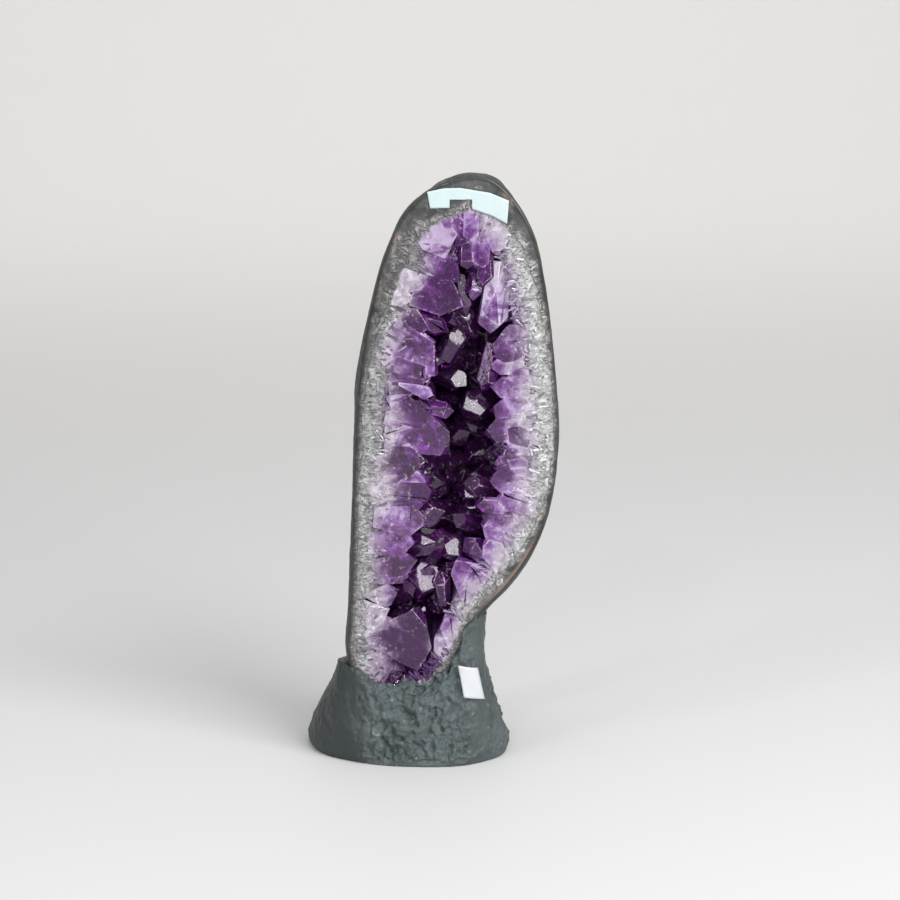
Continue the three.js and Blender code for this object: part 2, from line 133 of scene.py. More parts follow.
def fractal(points, size, octaves=3, offset=0.0):
    """Fractal noise, about -1..1, at points in millimetres with features of the given size."""
    shift = Vector((offset, 2.3 * offset, -1.7 * offset))
    return np.array([
        noise.fractal(Vector(p) / size + shift, 1.0, 2.0, octaves) for p in np.asarray(points, float)
    ])


def make_object(name, vertices, faces, attributes=(), smooth=True):
    """Mesh object from millimetre points; attributes are (name, value per vertex)."""
    mesh = bpy.data.meshes.new(name)
    mesh.from_pydata((np.asarray(vertices, float) * MM).tolist(), [], faces)
    for key, values in attributes:
        layer = mesh.attributes.new(key, "FLOAT", "POINT")
        layer.data.foreach_set("value", np.asarray(values, np.float32))
    if smooth:
        mesh.shade_smooth()
    mesh.update()
    made = bpy.data.objects.new(name, mesh)
    bpy.context.scene.collection.objects.link(made)
    return made


def loft_faces(rings, count):
    """Quads of a loft whose vertices are rings * count points, then one centre for each end."""
    faces = []
    for r in range(rings - 1):
        for i in range(count):
            j = (i + 1) % count
            a, b = r * count + i, r * count + j
            faces.append((a, b, b + count, a + count))
    first, last, top = rings * count, rings * count + 1, (rings - 1) * count
    for i in range(count):
        j = (i + 1) % count
        faces.append((first, j, i))
        faces.append((last, top + i, top + j))
    return faces


def face_outwards(obj):
    work = bmesh.new()
    work.from_mesh(obj.data)
    bmesh.ops.recalc_face_normals(work, faces=work.faces)
    work.to_mesh(obj.data)
    work.free()


def make_solid(name, vertices, faces, attributes=(), smooth=False):
    """Like make_object, for a closed mesh: its faces are turned outwards."""
    made = make_object(name, vertices, faces, attributes, smooth)
    face_outwards(made)
    return made


def loft(name, points, columns, attributes=(), smooth=False):
    """Closed loft from its rings of points, one after the other, and the centres of its two ends."""
    return make_solid(name, points, loft_faces(len(points) // columns, columns), attributes, smooth)


def for_each_ring(values, rings, ends=(0, 0)):
    """The same values for every ring of a loft, with one more for each end."""
    return np.concatenate([np.tile(values, len(rings)), ends])


def apply_modifiers(obj):
    """Replaces the object's mesh by what its modifiers make of it."""
    graph = bpy.context.evaluated_depsgraph_get()
    made = bpy.data.meshes.new_from_object(obj.evaluated_get(graph))
    obj.modifiers.clear()
    old = obj.data
    obj.data = made
    bpy.data.meshes.remove(old)


def boolean(obj, other, operation):
    """Joins or cuts obj with another object or a collection, and applies it."""
    cut = obj.modifiers.new("cut", "BOOLEAN")
    cut.operation = operation
    cut.solver = "MANIFOLD"
    if isinstance(other, bpy.types.Collection):
        cut.operand_type = "COLLECTION"
        cut.collection = other
    else:
        cut.object = other
    apply_modifiers(obj)


def remove_object(obj):
    mesh = obj.data
    bpy.data.objects.remove(obj)
    bpy.data.meshes.remove(mesh)


# ---- geode outline ----


def closed_spline(points, turns):
    """Closed centripetal Catmull-Rom curve through the points, at turns in 0..1."""
    count = len(points)
    place = (np.asarray(turns) % 1.0) * count
    k = np.floor(place).astype(int)
    w = (place - k)[:, None]
    p0, p1, p2, p3 = (points[(k + d) % count] for d in (-1, 0, 1, 2))
    step = [np.sqrt(np.linalg.norm(b - a, axis=1))[:, None] for a, b in ((p0, p1), (p1, p2), (p2, p3))]
    t1 = ((p1 - p0) / step[0] - (p2 - p0) / (step[0] + step[1]) + (p2 - p1) / step[1]) * step[1]
    t2 = ((p2 - p1) / step[1] - (p3 - p1) / (step[1] + step[2]) + (p3 - p2) / step[2]) * step[1]
    c2 = -3 * p1 + 3 * p2 - 2 * t1 - t2
    c3 = 2 * p1 - 2 * p2 + t1 + t2
    return p1 + t1 * w + c2 * w ** 2 + c3 * w ** 3


class Outline:
    """The widest outline at evenly spaced turns, with its inward normals and widths."""

    def __init__(self, count):
        fine = np.linspace(0, 1, 4000, endpoint=False)
        curve = closed_spline(STATIONS[:, :2], fine)
        steps = np.linalg.norm(np.roll(curve, -1, axis=0) - curve, axis=1)
        run = np.concatenate([[0], np.cumsum(steps)])
        self.length = run[-1]
        wanted = np.linspace(0, run[-1], count, endpoint=False)
        self.turn = np.interp(wanted, run, np.append(fine, 1.0))
        self.arc = wanted
        self.point = closed_spline(STATIONS[:, :2], self.turn)
        ahead = closed_spline(STATIONS[:, :2], self.turn + 1e-4)
        along = ahead - self.point
        along /= np.linalg.norm(along, axis=1)[:, None]
        self.inward = np.stack([along[:, 1], -along[:, 0]], axis=1)
        keys = np.arange(len(STATIONS) + 1) / len(STATIONS)
        closed = np.vstack([STATIONS, STATIONS[:1]])
        self.draw, self.rim, self.band = (np.interp(self.turn, keys, closed[:, c]) for c in (2, 3, 4))
        ragged = fractal(np.stack([self.point[:, 0], 0 * self.turn, self.point[:, 1]], axis=1), 4.5, 3, 6)
        self.rim = self.rim * (1 + 0.12 * ragged) + 0.55 * ragged.clip(-0.8)

    def ring(self, depth, inset, full_depth):
        """Points of the body at one depth behind the face."""
        power_x, power_z = BACK_ROUNDNESS
        flat = self.point + self.inward * np.asarray(inset)[..., None]
        part = np.clip(depth / full_depth, 0, 1)
        x = MIDDLE[0] + (flat[:, 0] - MIDDLE[0]) * (1 - part ** power_x) ** (1 / power_x)
        z = MIDDLE[1] + (flat[:, 1] - MIDDLE[1]) * (1 - part ** power_z) ** (1 / power_z)
        return np.stack([x, np.full_like(x, FACE_Y + depth), z], axis=1)

    def lump(self, depth):
        """Slow waves in the body's skin, which die out towards the saw cut."""
        turn = 2 * np.pi * self.turn
        waves = (np.sin(5 * turn + 0.09 * depth) + 0.7 * np.sin(9 * turn - 0.13 * depth + 1.3)
                 + 0.5 * np.sin(17 * turn + 0.21 * depth + 0.4))
        return 0.75 * smoothstep(depth, 2, 20) * waves

    def body_inset(self, depth):
        """How far the body's skin lies inside the widest outline, at one depth behind the face."""
        to_girdle = max(0.0, 1 - depth / GIRDLE_DEPTH)
        return self.draw * to_girdle ** 2 - self.lump(depth)


def centre_at(depth):
    return np.array([[MIDDLE[0], FACE_Y + depth, MIDDLE[1]]])


# ---- geode rind ----


def rind_rings(outline):
    """Rings from the inner edge of the sawn rim outwards, round its edge and over the back."""
    rings, across = [], []
    for k in range(RIM_ROWS + 1):
        from_edge = (1 - k / RIM_ROWS) * (outline.rim - SAW_EDGE) + SAW_EDGE
        rings.append(outline.ring(0, outline.draw + from_edge, BODY_DEPTH))
        across.append(from_edge)
    for angle in np.radians([30, 60, 90]):
        inset = outline.draw * 0.88 + SAW_EDGE * (1 - math.sin(angle)) * 0.8
        depth = SAW_EDGE * (1 - math.cos(angle))
        rings.append(outline.ring(depth, inset, BODY_DEPTH))
        across.append(SAW_EDGE * (1 - math.sin(angle)) - 0.2 * math.sin(angle) * np.ones_like(outline.rim))
    closing = np.linspace(0.775, 0.02, 34)  # sizes of the last rings, evenly spaced to the middle
    parts = np.concatenate([np.linspace(0.02, 0.72, 48), (1 - closing ** 2.5) ** (1 / 2.5)])
    for depth in parts * BODY_DEPTH:
        rings.append(outline.ring(depth, outline.body_inset(depth), BODY_DEPTH))
        across.append(-depth * np.ones_like(outline.rim))
    return rings, across


def pocket_rings(outline, clearance):
    """Rings of the hollow that holds the crystal lining, from the face to its back."""
    full_depth = BODY_DEPTH - BACK_WALL - clearance
    depths = [6, 14, 24, 34, 43, 50, 54.5, full_depth - 0.4]
    return [outline.ring(d, outline.draw + outline.rim + clearance, full_depth) for d in depths], full_depth


def build_rind():
    outline = Outline(RIND_COLUMNS)
    outer, across = rind_rings(outline)
    pocket, pocket_depth = pocket_rings(outline, 0.0)
    rings = pocket[::-1] + outer
    across = [outline.rim + 5] * len(pocket) + across
    points = np.vstack(rings + [centre_at(pocket_depth), centre_at(BODY_DEPTH)])
    across = np.concatenate([np.concatenate(across), [20, -BODY_DEPTH]])
    points = roughen_crust(points, across)
    points = chip_rim(points, across)
    rim = for_each_ring(outline.rim, rings, (1, 1))
    arc = for_each_ring(outline.arc, rings)
    marks = [("across", across), ("inner", rim - across), ("arc", arc), ("reach", across - rim)]
    return loft("geode_rind_stone", points, RIND_COLUMNS, marks, smooth=True)


def roughen_crust(points, across):
    """Knobbly natural skin behind the saw cut."""
    out = points - np.array([MIDDLE[0], FACE_Y + 10, MIDDLE[1]])
    out[:, 2] *= 0.35
    out /= np.linalg.norm(out, axis=1)[:, None] + 1e-9
    crust = across < -0.5
    start = 0.15 * smoothstep(-across[crust], 1, 6) + 0.85 * smoothstep(-across[crust], 12, 30)
    rough = 1.1 * fractal(points[crust], 17, 2, 3) + 1.0 * fractal(points[crust], 6, 4, 8)
    rough -= 0.9 * smoothstep(fractal(points[crust], 4.5, 2, 14), 0.2, 0.45)
    moved = points.copy()
    moved[crust] += out[crust] * (start * (rough - 0.5))[:, None]
    return moved


def chip_rim(points, across):
    """Shallow broken places in the polished rim, most of them at the top."""
    rim = (across > 0.9) & (points[:, 1] < FACE_Y + 0.01)
    where = points[rim]
    high = smoothstep(where[:, 2], 236, 252)
    broken = fractal(where, 6.5, 3, 21)
    depth = smoothstep(broken, 0.12, 0.3) * (0.25 + 0.75 * high) * 0.9
    jag = 0.5 + 0.5 * fractal(where, 1.1, 2, 5)
    moved = points.copy()
    moved[rim, 1] += depth * jag * smoothstep(across[rim], 0.9, 2.0)
    return moved


# ---- quartz bed ----


def bed_ring(outline, rise):
    """Ring of the surface that the crystals stand on; rise runs from 0 at the face to 1."""
    inset = outline.draw + outline.rim + outline.band
    flat = outline.point + outline.inward * inset[:, None]
    shrink = math.sqrt(max(0.0, 1 - rise * rise))
    x = MIDDLE[0] + (flat[:, 0] - MIDDLE[0]) * shrink
    z = MIDDLE[1] + (flat[:, 1] - MIDDLE[1]) * shrink
    return np.stack([x, np.full_like(x, FACE_Y + BED_DEPTH * rise), z], axis=1)


def needle_relief(arc, across_mm, seed):
    """Recess of crushed, radiating quartz needles: cells long across the band, each tilted."""
    jitter = random.Random(seed)
    width, length = 1.5, 3.6
    cells = {}
    recess = np.empty(len(arc))
    for n, (a, c) in enumerate(zip(arc, across_mm)):
        ia, ic = int(a // width), int(c // length)
        best = None
        for ka in (ia - 1, ia, ia + 1):
            for kc in (ic - 1, ic, ic + 1):
                cell = cells.get((ka, kc))
                if cell is None:
                    jitter.seed(ka * 7919 + kc * 104729 + seed)
                    cell = ((ka + jitter.random()) * width, (kc + jitter.random()) * length,
                            jitter.uniform(-1, 1), jitter.uniform(-1, 1), jitter.random())
                    cells[(ka, kc)] = cell
                da, dc = a - cell[0], c - cell[1]
                distance = (da / width) ** 2 + (dc / length) ** 2
                if best is None or distance < best[0]:
                    best = (distance, 0.22 * cell[2] * da + 0.09 * cell[3] * dc + 0.45 * cell[4] ** 2)
        recess[n] = best[1]
    return recess


def build_bed():
    """The quartz that the crystals stand on: its ragged band in the face, and the hollow behind."""
    outline = Outline(BED_COLUMNS)
    clearance = 0.15
    pocket, pocket_depth = pocket_rings(outline, clearance)
    rings = pocket[::-1]
    across = [np.full(BED_COLUMNS, -1.0)] * len(rings)
    reach = [np.zeros(BED_COLUMNS)] * len(rings)
    for part in np.arange(BAND_ROWS + 1) / BAND_ROWS:
        inset = outline.draw + outline.rim + clearance + (outline.band - clearance) * part
        ring = outline.ring(0, inset, BODY_DEPTH)
        relief = needle_relief(outline.arc, part * outline.band, 11)
        sink = 0.15 + 0.8 * smoothstep(part, 0.0, 0.3) * relief.clip(0) + 0.5 * smoothstep(part, 0.0, 0.4)
        ring[:, 1] += sink + 3.2 * smoothstep(part, 0.55, 1.0) ** 1.5
        rings.append(ring)
        across.append(np.full(BED_COLUMNS, part))
        reach.append(part * outline.band)
    for rise in np.sin(np.radians(np.linspace(10, 88, 18))):
        rings.append(bed_ring(outline, rise))
        across.append(np.full(BED_COLUMNS, 1.0 + rise))
        reach.append(outline.band + BED_DEPTH * rise)
    points = np.vstack(rings + [centre_at(pocket_depth), centre_at(BED_DEPTH)])
    across = np.concatenate([np.concatenate(across), [-1, 2]])
    reach = np.concatenate([np.concatenate(reach), [0, BED_DEPTH]])
    marks = [("across", across), ("arc", for_each_ring(outline.arc, rings)), ("reach", reach)]
    return loft("quartz_bed", points, BED_COLUMNS, marks)


# ---- amethyst crystals ----

FACET_TILT = math.radians(51.8)  # between a point face's normal and the crystal's length
QUARTZ_IOR = 1.544

# Long middle line of the open hollow: height, x, half width of the opening.
HOLLOW = np.array([
    (50, -8, 0.5), (75, -4, 1.5), (92, 4, 4), (112, 8, 8), (140, 15, 12), (165, 18, 13),
    (190, 17, 11), (207, 18, 7), (222, 17, 2.5), (236, 15, 0.5),
])

# Crystals placed one by one: x, z of the visible middle, depth of the axis behind the face, in-plane
# direction of the tip (degrees, 0 is right, 90 is up), lean of the tip towards the viewer (degrees),
# width, visible length, tone (0 pale to 1 darkest).
KEY_CRYSTALS = [
    (5, 230, 0.4, -62, 4, 16, 15, 0.05), (7, 241, 0.3, -60, 0, 6, 11, 0.12),
    (12, 236, 1.6, -82, 2, 8, 17, 0.5), (18, 238, 0.8, -90, 2, 7, 15, 0.15),
    (24, 236, 1.4, -96, 0, 8, 15, 0.55), (29, 233, 0.6, -104, 0, 8, 14, 0.2),
    (16, 227, 3.2, -86, 4, 9, 17, 0.6), (22, 226, 2.4, -95, 4, 8, 16, 0.35),
    (28, 204, 4.5, -97, 5, 14, 26, 0.1),
    (-18, 57, 0.6, 28, 0, 13, 15, 0.8), (-18, 50, 0.9, 14, 0, 11, 14, 0.65),
    (6, 222, 1.4, -40, 0, 8, 12, 0.7),
    (8, 219, 1.0, -35, 0, 9, 15, 0.6), (6, 207, 1.5, -18, 8, 15, 22, 0.62),
    (-7, 196, 1.0, -8, 6, 13, 17, 0.75), (-7, 214, 0.2, -25, 0, 9, 12, 0.15),
    (-12, 208, 0.3, -12, 0, 9, 12, 0.1), (3, 195, 3.0, -25, 6, 9, 13, 0.75),
    (20, 211, 5.5, -100, 12, 9, 12, 0.45), (24, 218, 3.0, -92, 0, 9, 14, 0.85),
    (15, 204, 8.0, -80, 10, 10, 14, 0.9), (17, 192, 11.0, -110, 25, 11, 14, 0.95),
    (10, 197, 8.0, -50, 25, 10, 12, 0.95), (12, 187, 12.0, -30, 40, 9, 10, 0.95),
    (34, 189, 0.8, 195, 5, 11, 15, 0.6), (-7, 181, 1.5, -40, 7, 19, 30, 0.35),
    (-5, 167, 0.2, -20, 0, 5, 15, 0.1), (5, 158, 3.0, -10, 10, 8, 12, 0.5),
    (-6, 157, 1.0, -5, 0, 10, 18, 0.6), (-2, 148, 1.5, -42, 8, 16, 28, 0.62),
    (-12, 134, 0.8, 2, 0, 11, 20, 0.6), (25, 173, 4.0, -105, 8, 9, 16, 0.85),
    (21, 161, 9.0, 178, 38, 12, 12, 0.9), (35, 158, 1.0, 182, 4, 13, 17, 0.4),
    (32, 184, 1.0, 190, 0, 9, 12, 0.6), (32, 178, 0.6, 184, 0, 8, 13, 0.3),
    (32, 168, 1.2, 176, 5, 9, 13, 0.3), (38, 171, 0.4, 180, 0, 8, 12, 0.5),
    (30, 149, 2.0, 192, 6, 10, 14, 0.65), (38, 144, 0.8, 186, 0, 9, 15, 0.3),
    (13, 168, 15.0, -20, 40, 11, 12, 1.0), (14, 145, 15.0, 10, 42, 11, 12, 1.0),
    (18, 150, 14.0, 150, 42, 11, 12, 1.0), (-14, 130, 0.6, -4, 3, 12, 22, 0.4),
    (-11, 122, 0.5, -3, 0, 8, 28, 0.65), (-13, 116, 1.0, 4, 0, 9, 24, 0.6),
    (-11, 109, 0.4, -6, 4, 12, 22, 0.18), (-15, 99, 0.5, 2, 3, 12, 20, 0.35),
    (-14, 89, 0.8, 12, 5, 10, 19, 0.55), (0, 111, 6.0, 8, 12, 13, 16, 0.9),
    (-3, 97, 5.0, 12, 16, 11, 14, 0.85), (4, 97, 6.5, 60, 25, 10, 12, 0.7),
    (11, 96, 8.0, 110, 30, 9, 13, 0.85), (15, 108, 7.0, 150, 20, 10, 13, 0.75),
    (20, 123, 6.0, 168, 20, 10, 14, 0.7), (34, 126, 1.0, 172, 5, 15, 18, 0.5),
    (36, 117, 0.5, 165, 0, 9, 16, 0.2), (37, 111, 0.8, 150, 0, 10, 15, 0.4),
    (28, 105, 2.0, 150, 8, 11, 15, 0.4), (28, 95, 0.8, 128, 3, 10, 15, 0.18),
    (19, 97, 3.0, 135, 12, 10, 12, 0.65), (15, 84, 1.2, 105, 6, 10, 20, 0.35),
    (21, 84, 0.8, 118, 2, 9, 14, 0.3), (-1, 84, 4.0, 60, 35, 11, 12, 0.75),
    (5, 81, 3.0, 95, 20, 9, 12, 0.6), (-9, 77, 4.0, 35, 30, 9, 12, 0.9),
    (-10, 59, 2.6, 62, 20, 26, 24, 0.95), (-22, 67, 0.8, 25, 5, 9, 11, 0.2),
    (-21, 63, 1.2, 15, 6, 8, 10, 0.5), (-20, 75, 1.0, 25, 4, 9, 14, 0.45),
    (6, 53, 2.0, 125, 16, 11, 13, 0.3), (10, 59, 1.0, 110, 6, 9, 18, 0.15),
    (-6, 45, 3.5, 80, 35, 11, 12, 0.45), (-22, 45, 2.0, 60, 14, 12, 16, 0.65),
    (-14, 43, 3.0, 75, 28, 12, 13, 0.85), (4, 46, 4.0, 100, 30, 8, 10, 0.8),
]

# Crystals with one large facet across MIRROR_NORMAL, which catches the light: x, z, depth of that
# facet, roll about it in degrees, radius, tone.
MIRROR_NORMAL = Vector((0.27, -0.86, 0.44)).normalized()
MIRROR_CRYSTALS = [
    (21, 161, 7.0, 200, 7.5, 0.9), (-1, 83, 3.0, 250, 8.5, 0.75), (11, 96, 5.0, 300, 5.5, 0.8),
    (16, 201, 8.0, 120, 5.0, 0.95), (12, 190, 9.0, 60, 5.5, 0.95), (-6, 46, 3.0, 280, 5.5, 0.5),
    (18, 121, 6.0, 220, 4.0, 0.8), (-2, 173, 2.5, 20, 4.0, 0.4), (29, 203, 2.5, 170, 4.0, 0.3),
]

# Rows of smaller crystals: rise up the bed's wall, spacing, shortest length, smallest and largest radius.
FILL_ROWS = [
    (0.03, 3.2, 6.0, 2.8, 5.2), (0.06, 3.6, 6.0, 3.0, 5.0), (0.11, 4.6, 5.5, 3.2, 5.6),
    (0.2, 6.2, 5.0, 3.2, 5.8), (0.34, 6.6, 4.5, 3.4, 6.2), (0.48, 7.0, 4.5, 3.6, 6.4),
    (0.62, 7.4, 4.5, 3.6, 6.6),
    (0.75, 7.8, 4.5, 3.8, 6.8), (0.86, 8.2, 4.5, 4.0, 6.8), (0.94, 8.4, 4.5, 4.0, 6.8),
    (0.985, 8.4, 4.5, 4.0, 6.8),
]

# Rows of quartz needles: place across the band, spacing, longest.
NEEDLE_ROWS = [(-0.1, 1.3, 3.5), (0.06, 1.3, 4.5), (0.2, 1.3, 5.0), (0.35, 1.3, 5.5), (0.5, 1.5, 5.5),
               (0.66, 2.0, 5.5), (0.85, 3.2, 5.5)]

# Edges of the purple field on the sawn face: height, left x, right x.
FIELD = [
    (38, -23, 5), (47, -25, 8), (55, -26, 11), (65, -25, 15), (78, -24, 23), (91, -23, 32),
    (109, -23, 40), (127, -20, 42), (145, -18, 43), (163, -20, 43), (185, -18, 41), (202, -13, 41),
    (212, -10, 39), (220, -6, 36), (232, -6, 31), (240, -1, 25), (247, 7, 19), (254, 14, 16),
]


def crystal_mesh(radius, length, rng, mirror=False):
    """Quartz crystal in its own frame: root at 0, tip up, six sides, a lopsided six-faced point."""
    work = bmesh.new()
    bmesh.ops.create_cube(work, size=2.0)
    bmesh.ops.scale(work, vec=(2 * radius, 2 * radius, length), verts=work.verts)
    bmesh.ops.translate(work, vec=(0, 0, length), verts=work.verts)
    twist = 0.0 if mirror else rng.uniform(0, math.pi / 3)
    flat = rng.uniform(0.0, 0.14)
    taper = rng.uniform(0.0, 0.1)
    for k in range(6):
        angle = twist + k * math.pi / 3
        outwards = Vector((math.cos(angle), math.sin(angle), 0))
        reach = radius * (rng.uniform(0.86, 1.0) - flat * abs(math.cos(angle)))
        shoulder = Vector((0, 0, max(0.3 * length, length - 1.27 * radius)))
        slice_off(work, outwards * reach + shoulder, outwards - Vector((0, 0, taper)))
    high = 0 if mirror else rng.randrange(2)
    for k in range(6):
        angle = twist + k * math.pi / 3
        normal = Vector((math.cos(angle) * math.sin(FACET_TILT), math.sin(angle) * math.sin(FACET_TILT),
                         math.cos(FACET_TILT)))
        back = rng.uniform(0.0, 0.12) if k % 2 == high else rng.uniform(-0.3, 0.02)
        if mirror and k == 0:
            back = 0.2
        slice_off(work, Vector((0, 0, length)) - normal * back * radius, normal)
    return work


def slice_off(work, at, normal):
    """Cuts away what lies beyond a plane and closes the cut."""
    everything = work.verts[:] + work.edges[:] + work.faces[:]
    cut = bmesh.ops.bisect_plane(work, geom=everything, plane_co=at, plane_no=normal, dist=1e-4,
                                 clear_outer=True)
    edges = [e for e in cut["geom_cut"] if isinstance(e, bmesh.types.BMEdge)]
    if len(edges) > 2:
        bmesh.ops.contextual_create(work, geom=edges)


def direction(in_plane, lean):
    """Unit vector from an in-plane angle and a lean towards the viewer, both in degrees."""
    a, b = math.radians(in_plane), math.radians(lean)
    return Vector((math.cos(a) * math.cos(b), -math.sin(b), math.sin(a) * math.cos(b)))


def along_axis(root, axis, side=None):
    """Matrix that stands a crystal on root, pointing along axis, with its X turned to side."""
    if side is None:
        turn = axis.to_track_quat("Z", "Y").to_matrix()
    else:
        turn = Matrix((side, axis.cross(side), axis)).transposed()
    return Matrix.Translation(root) @ turn.to_4x4()


def add_crystal(group, root, axis, length, radius, tone, cut_depth, rng, side=None):
    """One crystal from its root along its axis, cut at the polished face, as an object in mm."""
    work = crystal_mesh(radius, length, rng, side is not None)
    bmesh.ops.transform(work, matrix=along_axis(root, axis, side), verts=work.verts)
    slice_off(work, Vector((0, FACE_Y + cut_depth, 0)), Vector((0, -1, 0)))
    if len(work.verts) < 5:
        work.free()
        return
    along = work.verts.layers.float.new("along")
    marks = {key: work.faces.layers.float.new(key) for key in ("tone", "lot", "edge")}
    bevel = bmesh.ops.bevel(work, geom=work.edges[:], offset=min(0.4, 0.07 * radius), offset_type="OFFSET",
                            segments=1, affect="EDGES", clamp_overlap=True)
    for vertex in work.verts:
        vertex[along] = (vertex.co - root).dot(axis) / length
    chance = rng.random()
    for face in work.faces:
        face[marks["tone"]] = tone
        face[marks["lot"]] = chance
    for face in bevel["faces"]:
        face[marks["edge"]] = 1.0
    mark_cores(work, marks["edge"])
    link_crystal(group, work)


def mark_cores(work, edge):
    """Insets every broad face, and marks the inner rings so that colour can change towards an edge."""
    core = work.verts.layers.float.new("core")
    for face in [f for f in work.faces if f[edge] < 0.5]:
        area = face.calc_area()
        if area < 1.0:
            continue
        inset = min(1.8, 0.8 * area / sum(e.calc_length() for e in face.edges))
        bmesh.ops.inset_individual(work, faces=[face], thickness=inset)
        for vertex in face.verts:
            vertex[core] = 1.0


def link_crystal(group, work):
    mesh = bpy.data.meshes.new("crystal")
    work.to_mesh(mesh)
    work.free()
    group.objects.link(bpy.data.objects.new("crystal", mesh))


def hollow_at(z):
    """x and half width of the open hollow at a height."""
    return np.interp(z, HOLLOW[:, 0], HOLLOW[:, 1]), np.interp(z, HOLLOW[:, 0], HOLLOW[:, 2])


def place_key_crystals(group, rng):
    for x, z, depth, in_plane, lean, width, seen, tone in KEY_CRYSTALS:
        if depth < 3:
            lean = -rng.uniform(6, 16)
        axis = direction(in_plane, lean)
        middle = Vector((x, FACE_Y + depth + 0.5 * seen * max(0.0, math.sin(math.radians(lean))), z))
        hidden = 2.5 if depth < 3 else 6.0
        root = middle - axis * (0.5 * seen + hidden)
        radius = 0.5 * width * (1.12 if depth < 3 else 1.0)
        behind = rng.uniform(0.3, 0.9) * min(1.0, 0.05 + 4 * max(0.0, tone - 0.15))
        add_crystal(group, root, axis, seen + hidden, radius, tone, behind, rng)


def place_mirror_crystals(group, rng):
    """Crystals with one large facet turned so that it mirrors the key light to the viewer."""
    for x, z, depth, roll, radius, tone in MIRROR_CRYSTALS:
        centre = Vector((x, FACE_Y + depth, z))
        level = MIRROR_NORMAL.cross(Vector((0, 0, 1))).normalized()
        across = Matrix.Rotation(math.radians(roll), 3, MIRROR_NORMAL) @ level
        axis = MIRROR_NORMAL * math.cos(FACET_TILT) - across * math.sin(FACET_TILT)
        side = MIRROR_NORMAL * math.sin(FACET_TILT) + across * math.cos(FACET_TILT)
        tip = centre + axis * 0.85 * radius - side * 0.55 * radius
        length = 3.2 * radius
        add_crystal(group, tip - axis * length, axis, length, radius, tone, 0.2, rng, side)


def place_fill_crystals(group, rng):
    """Smaller crystals that cover the whole bed, row by row, leaning to the hollow's middle line."""
    outline = Outline(2000)
    for rise, spacing, shortest, small, large in FILL_ROWS:
        ring = bed_ring(outline, rise)
        run = np.concatenate([[0], np.cumsum(np.linalg.norm(np.diff(ring, axis=0), axis=1))])
        number = max(3, int(run[-1] / spacing))
        for i in range(number):
            at = (i + rng.uniform(-0.3, 0.3)) / number % 1.0 * run[-1]
            foot = Vector(ring[min(len(ring) - 1, int(np.searchsorted(run, at)))])
            height = min(max(foot.z + rng.uniform(-8, 8), 66), 222)
            x_middle, opening = hollow_at(height)
            target = Vector((x_middle, FACE_Y + 7 + 3 * rise, height))
            span = (target - foot).length
            axis = (target - foot).normalized()
            axis = (axis + Vector([rng.uniform(-0.22, 0.22) for _ in range(3)])).normalized()
            length = min(max(span - opening * (1.2 - 0.7 * rise), shortest), 24) * rng.uniform(0.72, 1.0)
            radius = rng.uniform(small, large)
            tone = min(1.0, 0.1 + 0.8 * rng.random() + 0.9 * rise)
            buried = 2.0 if rise < 0.15 else 5.0
            if any(stands_before_key(foot + axis * part * length) for part in (0.5, 0.9)):
                continue
            root = foot - axis * buried
            add_crystal(group, root, axis, length + buried, radius, tone, rng.uniform(0.4, 1.4), rng)


def stands_before_key(at):
    """Whether a place would hide one of the listed crystals that lie behind the face."""
    for x, z, depth, in_plane, lean, width, seen, _ in KEY_CRYSTALS:
        if depth < 2.5:
            continue
        toward = np.array([math.cos(math.radians(in_plane)), math.sin(math.radians(in_plane))])
        away = np.array([at.x - x, at.z - z])
        run = min(max(float(away @ toward), -0.5 * seen), 0.5 * seen)
        axis_y = FACE_Y + depth + (0.5 * seen - run) * math.sin(math.radians(lean))
        if at.y < axis_y + 0.3 * width and np.linalg.norm(away - run * toward) < 0.5 * width + 1.5:
            return True
    return False


def join_group(group, name):
    """Union of every object in a collection, as one object in metres."""
    loose = list(group.objects)
    whole = loose[0]
    group.objects.unlink(whole)
    bpy.context.scene.collection.objects.link(whole)
    boolean(whole, group, "UNION")
    for obj in loose[1:]:
        remove_object(obj)
    bpy.data.collections.remove(group)
    whole.name = name
    whole.data.name = name
    whole.data.transform(Matrix.Scale(MM, 4))
    return whole


def keep_inside_rim(obj, clearance):
    """Cuts away what reaches into the rim, or closer to it than the clearance."""
    outline = Outline(LIMIT_COLUMNS)
    inset = outline.draw + outline.rim + clearance
    rings, full_depth = pocket_rings(outline, clearance)
    rings = [outline.ring(depth, inset, BODY_DEPTH) for depth in (-1, 2)] + rings
    points = np.vstack(rings + [centre_at(-1), centre_at(full_depth)])
    limit = loft("limit", points, LIMIT_COLUMNS)
    boolean(obj, limit, "INTERSECT")
    remove_object(limit)


def new_group(name):
    group = bpy.data.collections.new(name)
    bpy.context.scene.collection.children.link(group)
    return group


def build_crystals():
    rng = random.Random(20)
    group = new_group("crystals")
    place_key_crystals(group, rng)
    place_mirror_crystals(group, rng)
    place_fill_crystals(group, rng)
    whole = join_group(group, "amethyst_crystals")
    keep_inside_rim(whole, 1.2)
    edge = np.empty(len(whole.data.polygons), np.float32)
    whole.data.attributes["edge"].data.foreach_get("value", edge)
    whole.data.polygons.foreach_set("use_smooth", edge > 0.5)
    whole.data.update()
    return whole


# ---- quartz needles ----


